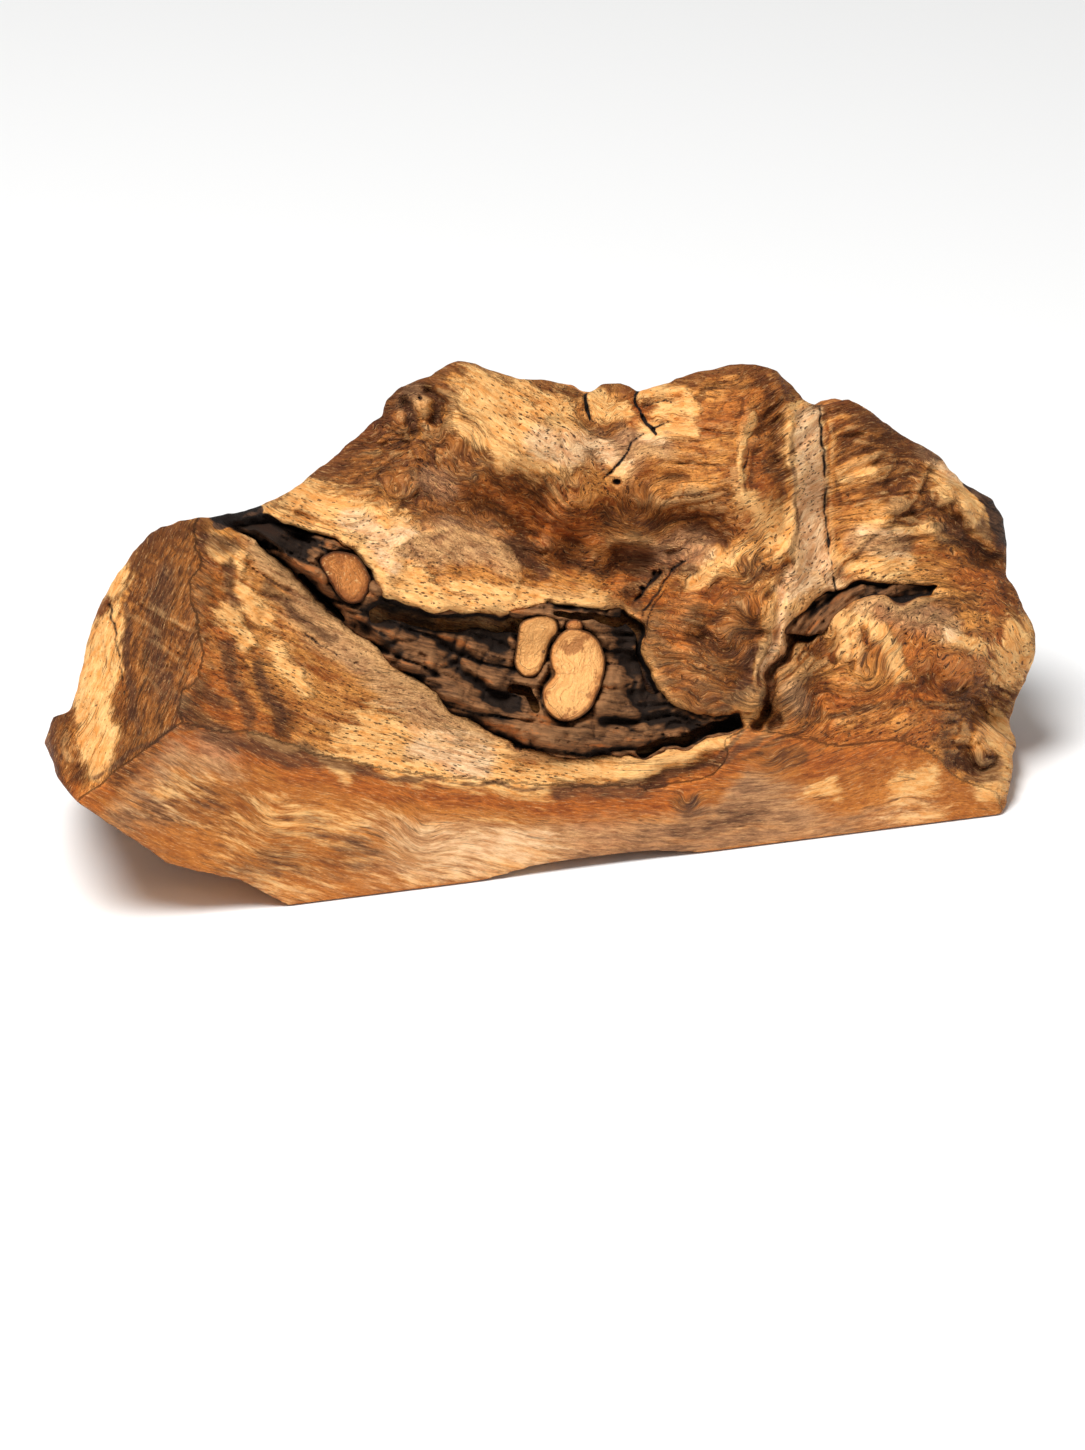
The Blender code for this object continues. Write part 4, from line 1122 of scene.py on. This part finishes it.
def woodFinish():
    finish = Finish("burlWood")
    s, t, w = finish.parts(finish.attribute("grain"))
    pale, brown, rust = finish.parts(finish.attribute("paintA"))
    grey, creaseShadeAndStain, pits = finish.parts(finish.attribute("paintB"))
    figure, paintedCrackShade, sawn = finish.parts(finish.attribute("paintC"))
    barky, shown, cavityShadeAndHighlight = finish.parts(finish.attribute("paintD"))

    # the fibres wander, most where the wood is figured
    bend = finish.noise(finish.vector(s * 0.03, t * 0.05, w * 0.03), detail=1) - 0.5
    stray = finish.noise(finish.vector(s * 0.13, t * 0.19, w * 0.13), detail=2) - 0.5
    drift = finish.noise(finish.vector(s * 0.17 + 9, t * 0.17, w * 0.17), detail=1) - 0.5
    t = t + bend * 6 + stray * (figure * 9 + 0.8) * (1 - sawn * 0.6)
    s = s + drift * (figure * 10)
    broad = finish.noise(finish.vector(s * 0.05, t * 0.16, w * 0.05), detail=4, rough=0.65)
    middle = finish.noise(finish.vector(s * 0.17, t * 0.8, w * 0.17), detail=4, rough=0.7)
    fine = finish.noise(finish.vector(s * 0.35, t * 2.4, w * 0.35), detail=2, rough=0.7)
    checks = finish.noise(finish.vector(s * 0.016, t * 0.34, w * 0.016 + 17), detail=2, rough=0.6) - 0.5
    edge = finish.noise(finish.vector(s * 0.06, t * 0.33, w * 0.06 + 5), detail=4, rough=0.7) - 0.5
    other = finish.noise(finish.vector(s * 0.08 + 31, t * 0.4, w * 0.08), detail=4, rough=0.7) - 0.5
    dashes = finish.node("TexVoronoi", {"feature": "F1"}, "Distance",
                         Vector=finish.vector(s * 0.36, t * 1.15, w * 0.36), Scale=1.0, Randomness=1.0)
    grit = finish.noise(finish.vector(s * 0.9, t * 2.4, w * 0.9), detail=2, rough=0.7)

    def over(colour, mask, first, second, share=middle):
        return finish.mix(mask, colour, finish.mix(share.step(0.34, 0.66), first, second))

    def masked(value, noise, spread, soft):
        return (value + noise * spread).step(0.5 - soft, 0.5 + soft)

    streak = broad * 0.5 + middle * 0.5
    colour = finish.mix(streak.step(0.37, 0.61), tone(152, 77, 22), tone(240, 160, 77))
    colour = over(colour, sawn, tone(160, 84, 24), tone(216, 134, 56), streak)
    colour = over(colour, masked(grey, edge, 1.0, 0.3) * 0.6, tone(148, 102, 57), tone(216, 163, 103))
    colour = over(colour, masked(rust, other, 1.5, 0.34) * 0.7, tone(134, 57, 9), tone(208, 108, 31))
    colour = over(colour, masked(brown, edge, 1.6, 0.24) * 0.9, tone(76, 39, 12), tone(170, 100, 39))
    # painted shade in the hollows of the relief
    colour = finish.mix((0 - cavityShadeAndHighlight - 0.2).step(0, 1.2) * 0.45, colour, tone(84, 41, 14))
    bleached = masked(pale, other, 1.7, 0.2)
    colour = over(colour, bleached * 0.9, tone(236, 157, 77), tone(255, 203, 131))
    cream = masked(grey, edge, 1.0, 0.3) * (0.2 + bleached * 0.5)
    colour = over(colour, cream, tone(216, 164, 120), tone(255, 218, 174))
    # painted shade along the creases, and dark stains
    colour = over(colour, masked(creaseShadeAndStain, edge, 1.2, 0.25) * 0.8, tone(64, 35, 20), tone(120, 74, 42))
    warm = masked(rust, other, 1.5, 0.34)
    # painted highlight on the ridges of the relief, weaker on the rust
    colour = finish.mix((cavityShadeAndHighlight - 0.1).step(0, 1.3) * (0.38 - warm * 0.26), colour, tone(255, 197, 127))
    # more painted shade in the hollows, weaker on the pale wood
    colour = finish.mix((0 - cavityShadeAndHighlight - 0.2).step(0, 1.2) * (0.4 - bleached * 0.28), colour, tone(84, 41, 14))
    flecks = (middle + figure * 0.03).step(0.64, 0.72) * (1 - sawn * 0.6)
    colour = finish.mix(flecks * 0.55, colour, tone(255, 201, 131))
    calm = 1 - bleached * 0.55
    lines = (0.43 - fine).step(0, 0.07) * (0.3 + 0.3 * broad) * calm * (0.55 + shown * 0.45)
    colour = finish.mix(lines, colour, tone(96, 49, 18))
    colour = finish.mix((fine - 0.56).step(0, 0.14) * 0.3, colour, tone(255, 199, 132))
    colour = finish.mix((0.50 - grit).step(0, 0.10) * 0.16 * calm, colour, tone(92, 47, 18))
    split = (0.012 - checks * checks * 40).step(0, 0.012) * (broad - 0.05).step(0.45, 0.6)
    colour = finish.mix(split * 0.6, colour, tone(60, 29, 12))
    dots = (0.18 + pits * 0.15 - dashes).step(0, 0.07) * grit.step(0.40, 0.54) * (1 - sawn * 0.6)
    colour = finish.mix(dots * (0.5 + pits * 0.4), colour, tone(56, 26, 10))
    colour = over(colour, masked(barky, edge, 0.5, 0.06), tone(46, 28, 19), tone(104, 72, 50))
    # painted shade in the cracks, holes and trench floors, nearly black
    colour = finish.mix(paintedCrackShade.step(0.12, 0.6), colour, tone(24, 12, 6))
    height = (middle * 0.5 + fine * 0.45 + grit * 0.2 - dots * 0.3 - split * 0.3) * (1 - sawn * 0.6) * calm
    bump = finish.bump(height * (0.6 + shown * 0.4), 0.0030)
    rough = 0.56 + grit * 0.16
    return finish.finish(Base_Color=colour, Roughness=rough, Normal=bump)


def barkFinish():
    finish = Finish("ingrownBark")
    s, t, w = finish.parts(finish.attribute("grain"))
    high = finish.parts(finish.attribute("barkForm"))[0]
    broad = finish.noise(finish.vector(s * 0.06, t * 0.3, w * 0.06), detail=4, rough=0.65)
    fine = finish.noise(finish.vector(s * 0.2, t * 1.6, w * 0.2), detail=4, rough=0.7)
    grit = finish.noise(finish.vector(s * 1.4, t * 1.8, w * 1.4), detail=2, rough=0.7)
    colour = finish.mix((broad * 0.4 + fine * 0.6).step(0.34, 0.64), tone(72, 46, 27), tone(150, 101, 61))
    # painted highlight on the raised parts of the bark
    colour = finish.mix((high + fine * 2 - 0.6).step(0.0, 2.6) * 0.45, colour, tone(172, 122, 78))
    colour = finish.mix((broad + grit * 0.2).step(0.66, 0.78) * 0.7, colour, tone(176, 100, 44))
    # painted shade: the low parts of the bark, deep under the lip and in the furrows, go nearly black
    colour = finish.mix((0 - high).step(0.8, 3.2) * 0.95, colour, tone(20, 11, 6))
    bump = finish.bump(fine * 0.6 + grit * 0.4, 0.0012, 0.9)
    return finish.finish(Base_Color=colour, Roughness=0.8, Normal=bump)


def knotFinish(name, facts):
    finish = Finish(name + "Wood")
    s, t, w = finish.parts(finish.attribute("grain"))
    inward, angle, _ = finish.parts(finish.attribute("rings"))
    wander = finish.noise(finish.vector(s * 0.12, t * 0.12, w * 0.12), detail=3)
    layers = finish.noise(finish.vector(inward * 0.9 + wander * 6, angle * 0.25, 0.0), detail=3, rough=0.6)
    grit = finish.noise(finish.vector(s * 0.8, t * 0.8, w * 0.8), detail=3, rough=0.65)
    rim, middle = tone(*facts["rim"]), tone(*facts["middle"])
    colour = finish.mix((inward + grit * 1.6 - 0.8).step(0.1, 3.2), rim, middle)
    colour = finish.mix((layers + grit * 0.3 - 0.15).step(0.50, 0.58) * 0.4, colour, rim)
    colour = finish.mix((grit - 0.1).step(0.46, 0.62) * 0.55, colour, tone(255, 206, 138))
    colour = finish.mix((wander + grit * 0.25).step(0.68, 0.76) * 0.7, colour, tone(150, 84, 36))
    colour = finish.mix((0.36 - layers).step(0, 0.03) * 0.6, colour, tone(90, 46, 18))
    colour = finish.mix((0.9 - inward).step(0, 0.6) * 0.8, colour, tone(60, 34, 18))
    bump = finish.bump(layers * 0.5 + wander * 1.2 + grit * 0.5, 0.0022)
    return finish.finish(Base_Color=colour, Roughness=0.6, Normal=bump)


wood.data.materials.append(woodFinish())
barkWood = barkFinish()
barkBand.data.materials.append(barkWood)
barkSeam.data.materials.append(barkWood)
for name, piece in knotPieces.items():
    piece.data.materials.append(knotFinish(name, knots[name]))
print("finishes made")

stage = {
    "floor": 3.0,
    "floorTone": (0.93, 0.93, 0.925, 1),
    "sky": 0.26,
    # power in watts, size in metres and place
    "key": (114.0, 1.5, (-1.12, -0.85, 2.72)),
    "fill": (6.0, 1.2, (1.6, -2.2, 1.0)),
    "target": (0, 0, 0.05),
}


def makeFloor():
    mesh = bpy.data.meshes.new("floor")
    bm = bmesh.new()
    bmesh.ops.create_grid(bm, x_segments=2, y_segments=2, size=stage["floor"])
    bm.to_mesh(mesh)
    bm.free()
    floor = bpy.data.objects.new("floor", mesh)
    bpy.context.scene.collection.objects.link(floor)
    finish = Finish("paleFloor")
    mesh.materials.append(finish.finish(Base_Color=stage["floorTone"], Roughness=0.9))
    floor.location.z = cadBox[0][2] - 0.0002


def makeLight(name):
    energy, size, location = stage[name]
    data = bpy.data.lights.new(name, "AREA")
    data.energy = energy
    data.shape = "DISK"
    data.size = size
    lamp = bpy.data.objects.new(name, data)
    bpy.context.scene.collection.objects.link(lamp)
    lamp.location = location
    lamp.rotation_mode = "QUATERNION"
    lamp.rotation_quaternion = (Vector(stage["target"]) - Vector(location)).to_track_quat("-Z", "Y")


def makeWorld():
    world = bpy.data.worlds.new("studio")
    bpy.context.scene.world = world
    world.use_nodes = True
    world.node_tree.nodes["Background"].inputs["Color"].default_value = (1, 1, 1, 1)
    world.node_tree.nodes["Background"].inputs["Strength"].default_value = stage["sky"]


def makeCamera():
    data = bpy.data.cameras.new("camera")
    data.sensor_fit = "VERTICAL"
    data.sensor_height = 36.0
    data.lens = data.sensor_height * view["distance"] / view["tall"]
    data.clip_end = 20
    camera = bpy.data.objects.new("camera", data)
    bpy.context.scene.collection.objects.link(camera)
    turn = Matrix((acrossAxis, upAxis, outAxis)).transposed().to_4x4()
    turn.translation = Vector((aim + outAxis * view["distance"]) * mm)
    camera.matrix_world = turn
    bpy.context.scene.camera = camera


makeFloor()
makeWorld()
makeLight("key")
makeLight("fill")
makeCamera()
bpy.context.scene.view_settings.view_transform = "Standard"
print("stage set")
